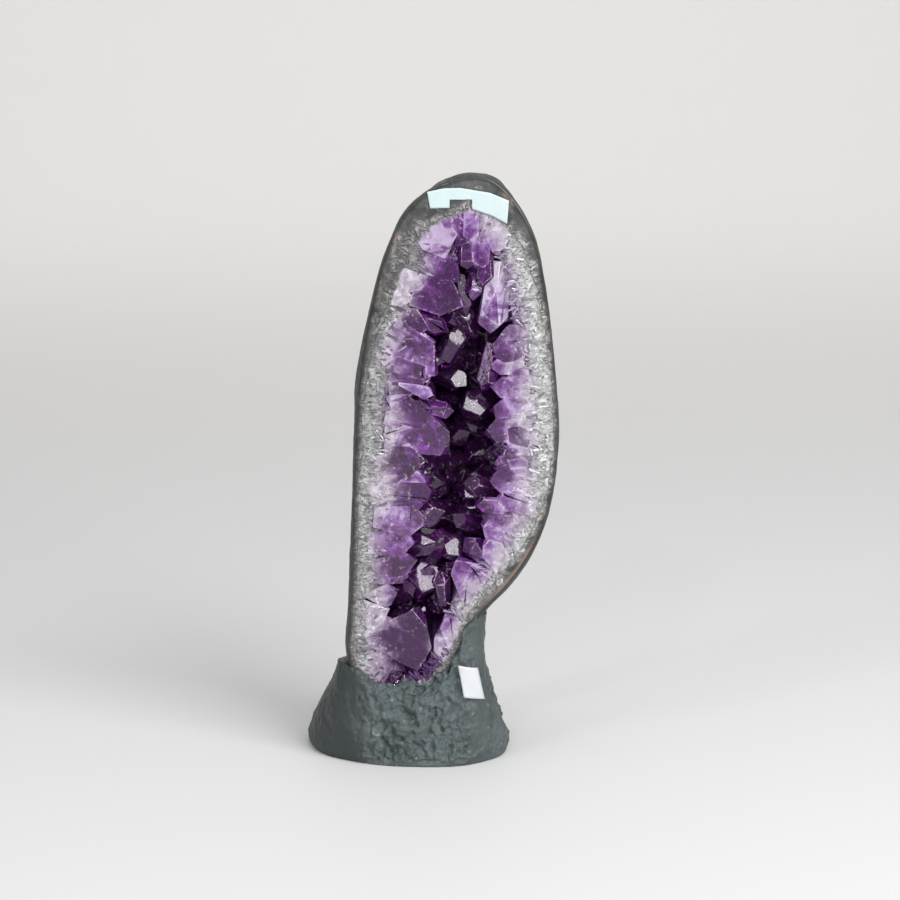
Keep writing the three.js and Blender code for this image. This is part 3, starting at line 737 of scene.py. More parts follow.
def build_needles():
    """Small clear and milky quartz crystals that radiate inwards through the pale band."""
    rng = random.Random(7)
    group = new_group("needles")
    outline = Outline(3000)
    for part, spacing, longest in NEEDLE_ROWS:
        number = int(outline.length / spacing)
        for i in range(number):
            k = int((i + rng.uniform(-0.5, 0.5)) / number * 3000) % 3000
            start = outline.draw[k] + outline.rim[k] + 0.6 + part * outline.band[k] + rng.uniform(-0.8, 0.8)
            foot = outline.point[k] + outline.inward[k] * max(start, outline.draw[k] + outline.rim[k] + 0.5)
            spread = math.radians(rng.gauss(0, 32))
            turned = Matrix.Rotation(spread, 2) @ Vector(outline.inward[k])
            lean = rng.gauss(0.0, 0.45) - 0.2 * part
            axis = Vector((turned.x, -lean, turned.y)).normalized()
            length = longest * rng.uniform(0.4, 1.1)
            radius = rng.uniform(0.25, 0.6) + 0.3 * part * rng.random()
            depth = rng.uniform(0.0, 1.2) + 0.6 * part
            root = Vector((foot[0], FACE_Y + depth, foot[1]))
            add_needle(group, root, axis, length, radius, rng)
    whole = join_group(group, "quartz_needles")
    keep_inside_rim(whole, 0.2)
    whole.data.shade_flat()
    return whole


def add_needle(group, root, axis, length, radius, rng):
    work = crystal_mesh(radius, length, rng)
    bmesh.ops.transform(work, matrix=along_axis(root, axis), verts=work.verts)
    slice_off(work, Vector((0, FACE_Y + rng.uniform(0.03, 0.5), 0)), Vector((0, -1, 0)))
    if len(work.verts) < 5:
        work.free()
        return
    shade = work.faces.layers.float.new("lot")
    chance = rng.random()
    for face in work.faces:
        face[shade] = chance
    link_crystal(group, work)


# ---- cement foot ----


def foot_points(angles, z):
    """Section of the foot at one height."""
    heights = FOOT_SECTIONS[:, 0]
    left, right, front, back, widest = (np.interp(z, heights, FOOT_SECTIONS[:, c]) for c in range(1, 6))
    part = z / heights[-1]
    blend = smoothstep(part, 0, 0.6)
    cos, sin = np.cos(angles), np.sin(angles)
    power = np.where(sin < 0, 2.2 + 1.0 * blend, 2.2 - 0.3 * blend)
    half = (right - left) / 2
    reach = np.where(sin < 0, widest - front, back - widest)
    bump = 0.5 * np.sin(7 * angles + 0.1 * z) * np.sin(0.16 * z + 2 * angles)
    x = (left + right) / 2 + (half + bump) * np.sign(cos) * np.abs(cos) ** (2 / power)
    y = widest + (reach + bump) * np.sign(sin) * np.abs(sin) ** (2 / power)
    y = y - FOOT_SHEAR * (1 - part) * half * cos
    return np.stack([x, y, np.full_like(x, z)], axis=1)


def border_cutter():
    """Block above the cement's ragged border; the cement slopes back towards the stone there."""
    x = np.arange(-60, 60.1, 0.8)
    z = np.interp(x, FRONT_BORDER[:, 0], FRONT_BORDER[:, 1]) - 1.8 * smoothstep(x, -35, -40)
    z = z + 1.6 * fractal(np.stack([x, 0 * x, z], axis=1), 3.4, 3, 2)
    at_stone = LEFT_SINK * smoothstep(x, -25, -34)
    at_back = SHOULDER_SINK * smoothstep(x, 0, -34) - SHOULDER_RISE
    rings = []
    for y, drop in ((-60.0, 5.0), (FACE_Y - 7.0, 4.0), (FACE_Y - 0.6, 0.0), (BORDER_END_Y, at_stone),
                    (SHOULDER_END_Y, at_back)):
        low = np.stack([x, np.full_like(x, y), z - drop], axis=1)
        rings.append(np.vstack([low, [[60, y, 120], [-60, y, 120]]]))
    n = len(rings[0])
    faces = [tuple(range(n))[::-1], tuple(range(4 * n, 5 * n))]
    for a in (0, n, 2 * n, 3 * n):
        faces += [(a + i, a + (i + 1) % n, a + n + (i + 1) % n, a + n + i) for i in range(n)]
    return make_solid("cutter", np.vstack(rings), faces)


def body_cutter(grow):
    """The geode's body without its crust, larger by grow, to hollow the cement with."""
    outline = Outline(CUTTER_COLUMNS)
    depths = np.concatenate([[0.0], np.linspace(0.03, 0.99, 40) * BODY_DEPTH])
    rings = []
    for depth in depths:
        rings.append(outline.ring(depth, outline.body_inset(depth) - grow, BODY_DEPTH + grow))
    rings.insert(0, rings[0] - np.array([0, grow, 0]))
    points = np.vstack(rings + [centre_at(-grow), centre_at(BODY_DEPTH + grow)])
    return loft("cutter", points, CUTTER_COLUMNS)


def build_foot():
    """The cast block, cut along its border, hollowed for the stone and roughened."""
    heights = np.concatenate([[0.0, 0.5, 1.3, 2.3], np.linspace(3.5, FOOT_SECTIONS[-1, 0], 40)])
    angles = np.linspace(0, 2 * np.pi, FOOT_COLUMNS, endpoint=False)
    rings = [foot_points(angles, z) for z in heights]
    ends = [[(*FOOT_MIDDLE, 0.0), (*FOOT_MIDDLE, heights[-1])]]
    made = loft("cement_foot_skin", np.vstack(rings + ends), FOOT_COLUMNS)
    for cutter in (border_cutter(), body_cutter(-0.8)):
        boolean(made, cutter, "DIFFERENCE")
        remove_object(cutter)
    remesh = made.modifiers.new("remesh", "REMESH")
    remesh.mode = "VOXEL"
    remesh.voxel_size = CEMENT_VOXEL * MM
    remesh.use_smooth_shade = True
    soften = made.modifiers.new("soften", "SMOOTH")
    soften.factor = 0.5
    soften.iterations = 2
    apply_modifiers(made)
    roughen_cement(made)
    return made


def roughen_cement(obj):
    """Brushed-on cement: lumpy and pitted in front, smoother on the flanks, flat underneath."""
    mesh = obj.data
    n = len(mesh.vertices)
    points = np.empty(3 * n, np.float32)
    mesh.vertices.foreach_get("co", points)
    points = points.reshape(n, 3) / MM
    normals = np.empty(3 * n, np.float32)
    mesh.vertices.foreach_get("normal", normals)
    normals = normals.reshape(n, 3)
    coarse = smoothstep(points[:, 0], -38, -22) * (1 - smoothstep(points[:, 0], 8, 22))
    coarse = coarse * smoothstep(-points[:, 1], -10, 20)
    coarse = 0.2 + 0.8 * np.maximum(coarse, 0.55 * smoothstep(points[:, 0], 24, 30))
    above = smoothstep(points[:, 2], 0.6, 3.0)
    stretched = points * np.array([1.0, 1.0, 0.6])
    relief = 1.5 * fractal(points, 12, 2, 4) + 1.1 * (0.2 - np.abs(fractal(stretched, 7.0, 3, 9)))
    relief = relief + 1.3 * fractal(points, 4.0, 4, 23)
    flakes = 1.0 - 3.5 * np.abs(fractal(stretched, 4.6, 3, 40))
    pits = smoothstep(fractal(points, 3.0, 3, 17), 0.28, 0.42)
    change = coarse * (relief + 0.9 * flakes * coarse - 0.7 * pits - 0.5)
    change = change + 0.3 * fractal(points, 2.6, 3, 30) - 0.35
    points = points + normals * (change * above)[:, None]
    points[:, 2] = np.maximum(points[:, 2], 0.0)
    mesh.vertices.foreach_set("co", (points * MM).astype(np.float32).ravel())
    layer = mesh.attributes.new("coarse", "FLOAT", "POINT")
    layer.data.foreach_set("value", coarse.astype(np.float32))
    mesh.update()


# ---- stickers ----


def sheet_mesh(name, grid_front, thickness):
    """Thin closed sheet from a grid of points (rows, columns, 3); its back lies behind it in +Y."""
    rows, columns, _ = grid_front.shape
    du = np.gradient(grid_front, axis=1)
    dv = np.gradient(grid_front, axis=0)
    normal = np.cross(du, dv)
    normal /= np.linalg.norm(normal, axis=2)[..., None]
    if normal[..., 1].mean() < 0:
        normal = -normal
    back = grid_front + normal * thickness
    n = rows * columns
    index = np.arange(n).reshape(rows, columns)
    faces = []
    for r in range(rows - 1):
        for c in range(columns - 1):
            quad = (index[r, c], index[r, c + 1], index[r + 1, c + 1], index[r + 1, c])
            faces.append(tuple(int(q) for q in quad))
            faces.append(tuple(int(q) + n for q in quad[::-1]))
    rim = list(index[0]) + list(index[1:-1, -1]) + list(index[-1][::-1]) + list(index[1:-1, 0][::-1])
    for k, a in enumerate(rim):
        b = rim[(k + 1) % len(rim)]
        faces.append((int(a), int(a) + n, int(b) + n, int(b)))
    points = np.concatenate([grid_front.reshape(n, 3), back.reshape(n, 3)])
    return make_solid(name, points, faces, smooth=True)


LABEL_TOP = np.array([(-1.0, 253.4), (6.0, 254.9), (13.2, 255.1), (26.1, 253.0), (34.3, 249.6)])
LABEL_LOW = np.array([(0.3, 246.3), (8.7, 246.5), (18.4, 246.0), (26.5, 243.3), (33.5, 239.6)])
NOTCH = (8.7, 18.4, 250.1)  # left, right and upper end of the notch in the lower edge
PRICE_LABEL = np.array([(12.4, 44.7), (21.3, 42.9), (24.4, 28.8), (15.1, 30.6)])


def build_weight_label():
    """Arched sticker: a strip between its upper and lower edge, with a notch cut out below."""
    rows, columns = 12, 56
    run = np.linspace(0, 1, columns)
    stops = np.linspace(0, 1, len(LABEL_TOP))
    top, low = (np.stack([np.interp(run, stops, edge[:, k]) for k in (0, 1)], axis=1)
                for edge in (LABEL_TOP, LABEL_LOW))
    x_z = top + (low - top) * np.linspace(0, 1, rows)[:, None, None]
    y = FACE_Y - 0.42 - 0.12 * np.sin(x_z[..., 0] * 0.35) ** 2
    grid = np.stack([x_z[..., 0], y, x_z[..., 1]], axis=2)
    made = sheet_mesh("weight_label_paper", grid, 0.22)
    notch = make_block("notch", (NOTCH[0], FACE_Y - 3, 240), (NOTCH[1], FACE_Y + 3, NOTCH[2]))
    boolean(made, notch, "DIFFERENCE")
    remove_object(notch)
    return made


def make_block(name, low, high):
    (x0, y0, z0), (x1, y1, z1) = low, high
    points = [(x, y, z) for x in (x0, x1) for y in (y0, y1) for z in (z0, z1)]
    faces = [(0, 1, 3, 2), (4, 6, 7, 5), (0, 4, 5, 1), (2, 3, 7, 6), (0, 2, 6, 4), (1, 5, 7, 3)]
    return make_solid(name, points, faces)


def foot_front(x, z):
    """y of the foot's front surface above a place (x, z)."""
    angles = np.linspace(-math.pi, 0, 400)
    ring = foot_points(angles, z)
    return float(np.interp(x, ring[:, 0], ring[:, 1]))


def build_price_label():
    rows, columns = 14, 10
    grid = np.zeros((rows, columns, 3))
    for r in range(rows):
        left = PRICE_LABEL[0] + (PRICE_LABEL[3] - PRICE_LABEL[0]) * r / (rows - 1)
        right = PRICE_LABEL[1] + (PRICE_LABEL[2] - PRICE_LABEL[1]) * r / (rows - 1)
        for c in range(columns):
            x, z = left + (right - left) * c / (columns - 1)
            grid[r, c] = (x, foot_front(x, z) - 0.85, z)
    return sheet_mesh("price_label_paper", grid, 0.3)


# ---- materials ----


class Shader:
    """Short way to lay out a node material round one Principled BSDF."""

    def __init__(self, name):
        self.material = bpy.data.materials.new(name)
        self.material.use_nodes = True
        self.nodes = self.material.node_tree.nodes
        self.links = self.material.node_tree.links
        self.main = self.nodes["Principled BSDF"]

    def add(self, kind, inputs=None, **settings):
        node = self.nodes.new("ShaderNode" + kind)
        for key, value in settings.items():
            setattr(node, key, value)
        for key, value in (inputs or {}).items():
            self.put(node.inputs[key], value)
        return node

    def put(self, socket, value):
        if isinstance(value, bpy.types.NodeSocket):
            self.links.new(value, socket)
        else:
            socket.default_value = value

    def set(self, **values):
        for key, value in values.items():
            self.put(self.main.inputs[key.replace("_", " ")], value)

    def attribute(self, name):
        return self.add("Attribute", attribute_name=name).outputs["Fac"]

    def place(self):
        return self.add("TexCoord").outputs["Object"]

    def axis(self, letter):
        """One coordinate of the place, in metres."""
        return self.add("SeparateXYZ", {"Vector": self.place()}).outputs[letter]

    def to_border(self, scale, vector=None):
        """Distance to the nearest border between the cells of a Voronoi pattern."""
        node = self.add("TexVoronoi", {"Vector": vector or self.place(), "Scale": scale},
                        feature="DISTANCE_TO_EDGE")
        return node.outputs["Distance"]

    def noise(self, scale, detail=3.0, roughness=0.55, vector=None, distortion=0.0):
        node = self.add("TexNoise", {"Vector": vector or self.place(), "Scale": scale, "Detail": detail,
                                     "Roughness": roughness, "Distortion": distortion})
        return node.outputs["Fac"]

    def ramp(self, value, stops):
        """Colour read off a list of (position, colour)."""
        node = self.add("ValToRGB", {"Fac": value})
        elements = node.color_ramp.elements
        while len(elements) < len(stops):
            elements.new(0.5)
        for element, (position, color) in zip(elements, stops):
            element.position = position
            element.color = (*color, 1)
        return node.outputs["Color"]

    def span(self, value, low, high, to_low=0.0, to_high=1.0, interpolation_type="LINEAR"):
        """The value carried over from one range to another, and held at its ends."""
        inputs = {"Value": value, "From Min": low, "From Max": high, "To Min": to_low, "To Max": to_high}
        return self.add("MapRange", inputs, interpolation_type=interpolation_type).outputs["Result"]

    def ease(self, value, low, high, to_low=0.0, to_high=1.0):
        """Like span, with a soft start and end."""
        return self.span(value, low, high, to_low, to_high, "SMOOTHSTEP")

    def math(self, operation, first, *others):
        """The operation between the first value and each of the others in turn."""
        for other in others:
            node = self.add("Math", operation=operation)
            self.put(node.inputs[0], first)
            self.put(node.inputs[1], other)
            first = node.outputs[0]
        return first

    def times(self, *values):
        return self.math("MULTIPLY", *values)

    def plus(self, *values):
        return self.math("ADD", *values)

    def mix(self, factor, a, b, blend="MIX"):
        node = self.add("Mix", data_type="RGBA", blend_type=blend)
        self.put(node.inputs["Factor"], factor)
        for key, value in ((6, a), (7, b)):
            self.put(node.inputs[key], (*value, 1) if isinstance(value, tuple) else value)
        return node.outputs[2]

    def between(self, factor, a, b):
        """Vector on the way from a to b."""
        node = self.add("Mix", data_type="VECTOR")
        self.put(node.inputs["Factor"], factor)
        for key, value in ((4, a), (5, b)):
            self.put(node.inputs[key], value)
        return node.outputs[1]

    def bump(self, height, distance, strength=1.0, normal=None):
        node = self.add("Bump", {"Height": height, "Distance": distance, "Strength": strength})
        if normal is not None:
            self.put(node.inputs["Normal"], normal)
        return node.outputs["Normal"]


def grey(value):
    return (value, value, value)


def crust_color(s):
    """Natural skin: nearly black, with paler grains and brown stains."""
    crust = s.ramp(s.noise(120, 7, 0.68), [(0.3, (0.006, 0.009, 0.008)), (0.5, (0.017, 0.024, 0.021)),
                                           (0.62, (0.04, 0.05, 0.043)), (0.8, (0.095, 0.098, 0.08))])
    crust = s.mix(s.span(s.noise(340, 2), 0.68, 0.73, 0, 0.6), crust, (0.16, 0.15, 0.12))
    return s.mix(s.span(s.noise(38, 3), 0.58, 0.72, 0, 0.4), crust, (0.06, 0.042, 0.03))


def rim_marks(s, agate, across, x, z):
    """The rim with its tan line near the saw edge, pale cracks and tan spots at the top."""
    tan_place = s.ease(s.noise(75, 3), 0.55, 0.65)
    tan_line = s.times(s.ease(across, 0.7, 1.2), s.ease(across, 1.6, 2.6, 1, 0))
    low_right = s.times(s.span(x, 0.022, 0.032), s.span(z, 0.106, 0.094))
    tan_line = s.times(tan_line, s.math("MAXIMUM", tan_place, low_right))
    crack = s.times(s.span(s.to_border(110.0), 0.03, 0.0), s.span(s.noise(60, 2), 0.5, 0.6))
    top_right = s.times(s.span(z, 0.246, 0.252), s.span(x, 0.012, 0.02))
    agate = s.mix(s.times(crack, top_right, 0.8), agate, grey(0.55))
    top_left = s.times(s.span(z, 0.247, 0.253), s.span(x, 0.01, 0.002))
    agate = s.mix(s.times(tan_place, top_left, 0.6), agate, (0.2, 0.14, 0.11))
    return s.mix(s.times(tan_line, 0.75), agate, (0.22, 0.145, 0.11))


def rind_material():
    """Dark knobbly crust; in the sawn face grey agate, smoky quartz inwards and a dark outer line."""
    s = Shader("rind_stone")
    across = s.attribute("across")
    on_face = s.ease(across, 0.0, 0.5)
    cloud = s.noise(90, 5, 0.62, distortion=0.6)
    flecks = s.noise(420, 3, 0.7)
    agate = s.ramp(cloud, [(0.28, (0.022, 0.023, 0.024)), (0.5, (0.06, 0.061, 0.062)),
                           (0.66, (0.105, 0.105, 0.106)), (0.82, (0.2, 0.2, 0.2))])
    agate = s.mix(s.span(flecks, 0.6, 0.75, 0, 0.55), agate, (0.3, 0.3, 0.3))
    x, z = s.axis("X"), s.axis("Z")
    wide = s.times(s.ease(x, 0.012, -0.004), s.ease(z, 0.17, 0.22))
    pale = s.times(s.attribute("inner"), s.span(wide, 0, 1, 1.0, 0.52))
    pale = s.plus(pale, s.span(cloud, 0.3, 0.7, 2.5, -2.5))
    threads = s.mix(0.3, fibres(s), s.noise(520, 4, 0.7))
    grain = s.ramp(threads, [(0.4, (0.065, 0.06, 0.058)), (0.5, (0.21, 0.195, 0.195)),
                             (0.62, (0.74, 0.72, 0.73))])
    grain = s.mix(1.0, grain, smokiness(s), "MULTIPLY")
    agate = s.mix(s.ease(pale, 4.0, 0.0, 0, 0.85), agate, grain)
    agate = s.mix(s.ease(across, 2.4, 0.6, 0, 0.75), agate, (0.014, 0.015, 0.015))
    color = s.mix(on_face, crust_color(s), rim_marks(s, agate, across, x, z))
    polish = s.span(s.noise(300, 3), 0.35, 0.7, 0.16, 0.34)
    fine = s.bump(s.noise(700, 4, 0.6), 0.00012, 0.35)
    coarse = s.bump(s.noise(300, 7, 0.7), 0.0009, 0.8)
    s.set(Base_Color=color, Roughness=s.plus(s.times(on_face, -0.3), s.plus(polish, 0.28)))
    s.set(Normal=s.between(on_face, coarse, fine), Specular_IOR_Level=0.5)
    return s.material


def quartz_material():
    """Pale fibrous quartz that turns lilac and then deep purple towards the hollow."""
    s = Shader("quartz_bed")
    across = s.attribute("across")
    cells = s.add("TexVoronoi", {"Vector": s.place(), "Scale": 700}, feature="F1")
    cloud = s.noise(140, 5, 0.65)
    white = s.ramp(cloud, [(0.3, (0.16, 0.16, 0.17)), (0.45, (0.42, 0.41, 0.43)), (0.6, (0.72, 0.71, 0.73)),
                           (0.75, (0.9, 0.89, 0.9))])
    cell_tone = s.add("SeparateColor", {"Color": cells.outputs["Color"]}).outputs[0]
    threads = fibres(s)
    fine = s.ramp(threads, [(0.34, grey(0.07)), (0.45, grey(0.3)), (0.54, grey(0.6)), (0.66, grey(0.95))])
    white = s.mix(0.6, white, fine)
    white = s.mix(0.2, white, s.ramp(cell_tone, [(0.0, grey(0.12)), (0.5, grey(0.55)), (1.0, grey(0.95))]))
    white = s.mix(s.span(s.to_border(380), 0.0, 0.05, 0.4, 0.0), white, grey(0.1))
    near_rim = s.plus(s.attribute("reach"), s.span(s.noise(260, 4, 0.6), 0.3, 0.7, 2.2, -2.2))
    white = s.mix(s.ease(near_rim, 3.2, 0.2, 0, 0.7), white, s.mix(0.5, fine, grey(0.05), "MULTIPLY"))
    white = s.mix(1.0, white, grey(0.86), "MULTIPLY")
    to_lilac = s.ease(across, 0.55, 1.0)
    lilac = s.mix(to_lilac, white, s.mix(0.6, white, (0.5, 0.36, 0.62)))
    deep = s.ease(across, 1.0, 1.5)
    color = s.mix(deep, lilac, (0.08, 0.012, 0.13))
    color = s.mix(1.0, color, smokiness(s), "MULTIPLY")
    normal = s.bump(threads, 0.0012, 0.8, s.bump(cells.outputs["Distance"], 0.0007, 0.5))
    s.set(Base_Color=color, Roughness=s.span(cell_tone, 0, 1, 0.12, 0.45), Normal=normal, IOR=1.54)
    return s.material


def fibres(s):
    """Fine quartz needles that run inwards from the rim, in sheaves."""
    turned = s.plus(s.attribute("arc"), s.span(s.noise(130, 2), 0.3, 0.7, -3.0, 3.0))
    reach = s.times(s.attribute("reach"), 0.24)
    return s.noise(1.0, 5, 0.65, s.add("CombineXYZ", {"X": turned, "Y": reach}).outputs[0])


def field_distance(s):
    """Distance in mm, at a place on the sawn face, inwards from the edge of the purple field."""
    low, high = FIELD[0][0], FIELD[-1][0]
    height = s.span(s.axis("Z"), low * MM, high * MM)
    half_view = 60.0
    sides = []
    for column in (1, 2):
        node = s.add("FloatCurve", {"Value": height})
        points = node.mapping.curves[0].points
        for row in FIELD[1:-1]:
            points.new(0.5, 0.5)
        for point, row in zip(points, FIELD):
            point.location = ((row[0] - low) / (high - low), row[column] / (2 * half_view) + 0.5)
            point.handle_type = "AUTO"
        node.mapping.update()
        sides.append(s.span(node.outputs["Value"], 0, 1, -half_view, half_view))
    x = s.times(s.axis("X"), 1 / MM)
    return s.math("MINIMUM", s.math("SUBTRACT", x, sides[0]), s.math("SUBTRACT", sides[1], x))


def crystal_marks(s, color):
    """Pale healed cracks, small painted glints (near-white specks of painted highlight) and rusty specks
    over the crystals' colour.
    """
    swirl = s.add("TexNoise", {"Vector": s.place(), "Scale": 160.0}).outputs["Color"]
    split = s.to_border(150.0, s.between(0.012, s.place(), swirl))
    vein = s.times(s.span(split, 0.035, 0.0), s.span(s.noise(70, 2), 0.5, 0.62))
    color = s.mix(s.times(vein, 0.5), color, (0.6, 0.45, 0.66))
    # painted highlight: sparse near-white specks stand in for glints of light on the faces
    glint = s.times(s.span(s.noise(620, 2, 0.5), 0.62, 0.66), s.span(s.noise(110, 2), 0.46, 0.56))
    color = s.mix(s.times(glint, 0.85), color, (0.86, 0.8, 0.9))
    rusty = s.times(s.span(s.noise(230, 2, 0.5), 0.7, 0.73), s.span(s.noise(40, 2), 0.52, 0.6))
    return s.mix(s.times(rusty, 0.8), color, (0.2, 0.05, 0.015))


def amethyst_material():
    """Clear crystals: milky outside the purple field, darker by tone and towards the tip, with painted
    shade deeper in the hollow and pale edges that are partly chips, partly painted highlight.
    """
    s = Shader("amethyst")
    tone = s.attribute("tone")
    along = s.attribute("along")
    lot = s.attribute("lot")
    edge = s.attribute("edge")
    core = s.attribute("core")
    behind = s.axis("Y")
    cloud = s.noise(95, 4, 0.6, distortion=0.9)
    wisp = s.noise(300, 4, 0.65, distortion=0.5)
    inside = s.plus(field_distance(s), s.span(lot, 0, 1, -4, 4))
    inside = s.plus(inside, s.span(cloud, 0.3, 0.7, -4, 4))
    buried = s.ease(behind, (FACE_Y + 1.5) * MM, (FACE_Y + 11) * MM)
    shown = s.math("MAXIMUM", s.ease(inside, -1, 10), buried)
    depth = s.plus(s.times(tone, 0.72), s.times(along, 0.16))
    depth = s.plus(depth, s.span(cloud, 0.3, 0.7, -0.2, 0.2))
    depth = s.plus(depth, s.span(core, 0, 1, -0.05, 0.05))
    depth = s.plus(depth, s.span(wisp, 0.35, 0.65, -0.08, 0.08))
    color = s.ramp(depth, [(0.06, (0.72, 0.57, 0.84)), (0.22, (0.46, 0.23, 0.64)), (0.4, (0.28, 0.06, 0.4)),
                           (0.64, (0.16, 0.018, 0.23)), (0.95, (0.12, 0.018, 0.16))])
    smoky = s.times(s.span(lot, 0.7, 0.85), s.span(cloud, 0.42, 0.62))
    color = s.mix(s.times(smoky, 0.55), color, (0.16, 0.075, 0.11))
    milk = s.ramp(wisp, [(0.3, (0.22, 0.19, 0.23)), (0.5, (0.42, 0.37, 0.44)), (0.68, (0.7, 0.65, 0.72))])
    color = s.mix(shown, milk, color)
    # painted shade: crystals further behind the face are darkened towards near-black purple, most where
    # their tone is dark
    color = s.mix(s.times(buried, s.span(tone, 0.1, 0.6, 0.15, 0.6)), color, (0.12, 0.022, 0.15))
    # pale bevelled edges: partly real chips, partly painted highlight along the edges; more of both near
    # the face
    near = s.span(behind, (FACE_Y + 9) * MM, (FACE_Y + 0.5) * MM, 0.0, 0.12)
    edge_wear_and_highlight = s.span(s.plus(s.noise(85, 3, 0.6), near), 0.52, 0.64)
    color = crystal_marks(s, color)
    chips_and_edge_highlight = s.times(edge, edge_wear_and_highlight, s.span(s.noise(900, 2), 0.35, 0.6))
    color = s.mix(s.times(chips_and_edge_highlight, 0.75), color, (0.62, 0.5, 0.54))
    clear = s.times(s.span(shown, 0, 1, 0.25, 0.8), s.span(chips_and_edge_highlight, 0, 1, 1, 0.3))
    clear = s.times(clear, s.span(depth, 0.1, 0.5, 0.6, 1.0))
    rough = s.plus(s.span(wisp, 0.35, 0.75, 0.02, 0.12), s.times(chips_and_edge_highlight, 0.2))
    pits = s.span(s.noise(620, 2, 0.5), 0.38, 0.3)
    grown = s.bump(pits, 0.0003, s.span(buried, 0, 1, 0.35, 0.05),
                   s.bump(s.noise(420, 4, 0.6), 0.0002, s.span(buried, 0, 1, 0.35, 0.08)))
    s.set(Base_Color=color, Transmission_Weight=clear, IOR=QUARTZ_IOR, Normal=grown, Roughness=rough)
    absorb = s.add("VolumeAbsorption", {"Color": (0.72, 0.24, 0.82, 1), "Density": 55.0})
    s.links.new(absorb.outputs[0], s.nodes["Material Output"].inputs["Volume"])
    return s.material


def smokiness(s):
    """Brightness of the pale quartz: full on the right, smokier to the left and at the upper left."""
    left = s.span(s.axis("X"), 0.04, -0.02)
    high = s.span(s.axis("Z"), 0.15, 0.225)
    loss = s.plus(s.times(left, 0.32), s.times(left, high, 0.3))
    return s.math("SUBTRACT", 1.0, loss)


def needle_material():
    """Clear to milky needles, tinted where they reach into the purple field."""
    s = Shader("clear_quartz")
    lot = s.attribute("lot")
    cloud = s.noise(160, 4, 0.6)
    color = s.ramp(lot, [(0.0, grey(0.3)), (0.4, (0.48, 0.48, 0.49)), (0.85, (0.76, 0.76, 0.77))])
    inside = s.plus(field_distance(s), s.span(cloud, 0.3, 0.7, -3, 3))
    lilac = s.ease(inside, -6, 2)
    low = s.span(s.axis("Z"), 0.06, 0.045)
    tint = s.mix(low, (0.44, 0.29, 0.52), (0.13, 0.02, 0.2))
    color = s.mix(s.times(lilac, s.span(low, 0, 1, 0.75, 0.95)), color, tint)
    color = s.mix(1.0, color, smokiness(s), "MULTIPLY")
    clear = s.span(lot, 0.0, 1.0, 0.6, 0.1)
    rough = s.span(cloud, 0.3, 0.7, 0.03, 0.2)
    s.set(Base_Color=color, Transmission_Weight=clear, IOR=QUARTZ_IOR, Roughness=rough,
          Normal=s.bump(s.noise(1400, 3), 0.00006, 0.3))
    return s.material


def cement_material():
    """Dark grey-green paint with grit, specks and pinholes painted as near-black dots of shade; paler in
    the coarse front, with painted shade on the left flank.
    """
    s = Shader("painted_cement")
    coarse = s.attribute("coarse")
    cloud = s.noise(45, 5, 0.6)
    paint = s.ramp(cloud, [(0.3, (0.034, 0.044, 0.045)), (0.55, (0.052, 0.067, 0.069)),
                           (0.75, (0.072, 0.09, 0.092))])
    grit = s.noise(900, 4, 0.7)
    speck = s.noise(330, 2, 0.5)
    paint = s.mix(s.span(speck, 0.69, 0.73, 0, 0.7), paint, (0.2, 0.21, 0.2))
    paint = s.mix(s.span(grit, 0.62, 0.75, 0, 0.3), paint, (0.13, 0.15, 0.15))
    # painted shade: pinholes are near-black dots of colour, the shade inside them painted on
    hole = s.span(s.noise(240, 2, 0.5), 0.34, 0.29)
    paint = s.mix(s.times(hole, 0.8), paint, (0.008, 0.01, 0.01))
    lumps = s.bump(s.noise(300, 5, 0.65), 0.0022, s.span(coarse, 0.2, 1, 0.12, 0.9))
    skin = s.bump(s.noise(800, 4, 0.65), 0.00035, 0.5, lumps)
    side = s.axis("X")
    # painted shade: the left flank, turned away from the key light, is darkened
    paint = s.mix(s.ease(side, -0.022, -0.038, 0, 0.75), paint, (0.02, 0.026, 0.027))
    paint = s.mix(s.span(coarse, 0.5, 1, 0, 1), paint, (1.6, 1.6, 1.6), "MULTIPLY")
    rough = s.span(cloud, 0.3, 0.7, 0.36, 0.55)
    s.set(Base_Color=paint, Roughness=rough, Normal=skin, Specular_IOR_Level=0.5)
    return s.material


def paper_material(name, color):
    s = Shader(name)
    fibre = s.noise(1500, 4, 0.7)
    shade = tuple(c * 0.93 for c in color)
    s.set(Base_Color=s.mix(s.span(fibre, 0.35, 0.65), color, shade), Roughness=0.42,
          Normal=s.bump(fibre, 0.00004, 0.3))
    return s.material


def finish_piece(obj, material, node):
    obj.data.materials.clear()
    obj.data.materials.append(material)
    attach(obj, "root")
    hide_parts(node)


# ---- stage, light and camera ----


def add_stage():
    """Floor that curves up into a backdrop, behind where any view stands."""
    profile = [(-6000.0, 0.0), (2200.0, 0.0)]
    profile += [(2200 + 900 * math.sin(a), 900 - 900 * math.cos(a)) for a in np.radians(range(10, 91, 10))]
    profile.append((3100.0, 4000.0))
    points = [(x, y, z) for y, z in profile for x in (-6000.0, 6000.0)]
    faces = [(2 * k, 2 * k + 1, 2 * k + 3, 2 * k + 2) for k in range(len(profile) - 1)]
    backdrop = make_object("backdrop", points, faces)
    s = Shader("pale_backdrop")
    far = s.axis("Y")
    s.set(Base_Color=s.mix(s.ease(far, 0.2, 2.6), (0.6, 0.6, 0.605), (0.97, 0.96, 0.94)),
          Roughness=0.6)
    backdrop.data.materials.append(s.material)


def add_area(name, at, target, size, power):
    light = bpy.data.lights.new(name, "AREA")
    light.shape = "RECTANGLE"
    light.size, light.size_y = size
    light.energy = power
    holder = bpy.data.objects.new(name, light)
    holder.location = at
    holder.rotation_euler = (Vector(target) - Vector(at)).to_track_quat("-Z", "Y").to_euler()
    bpy.context.scene.collection.objects.link(holder)


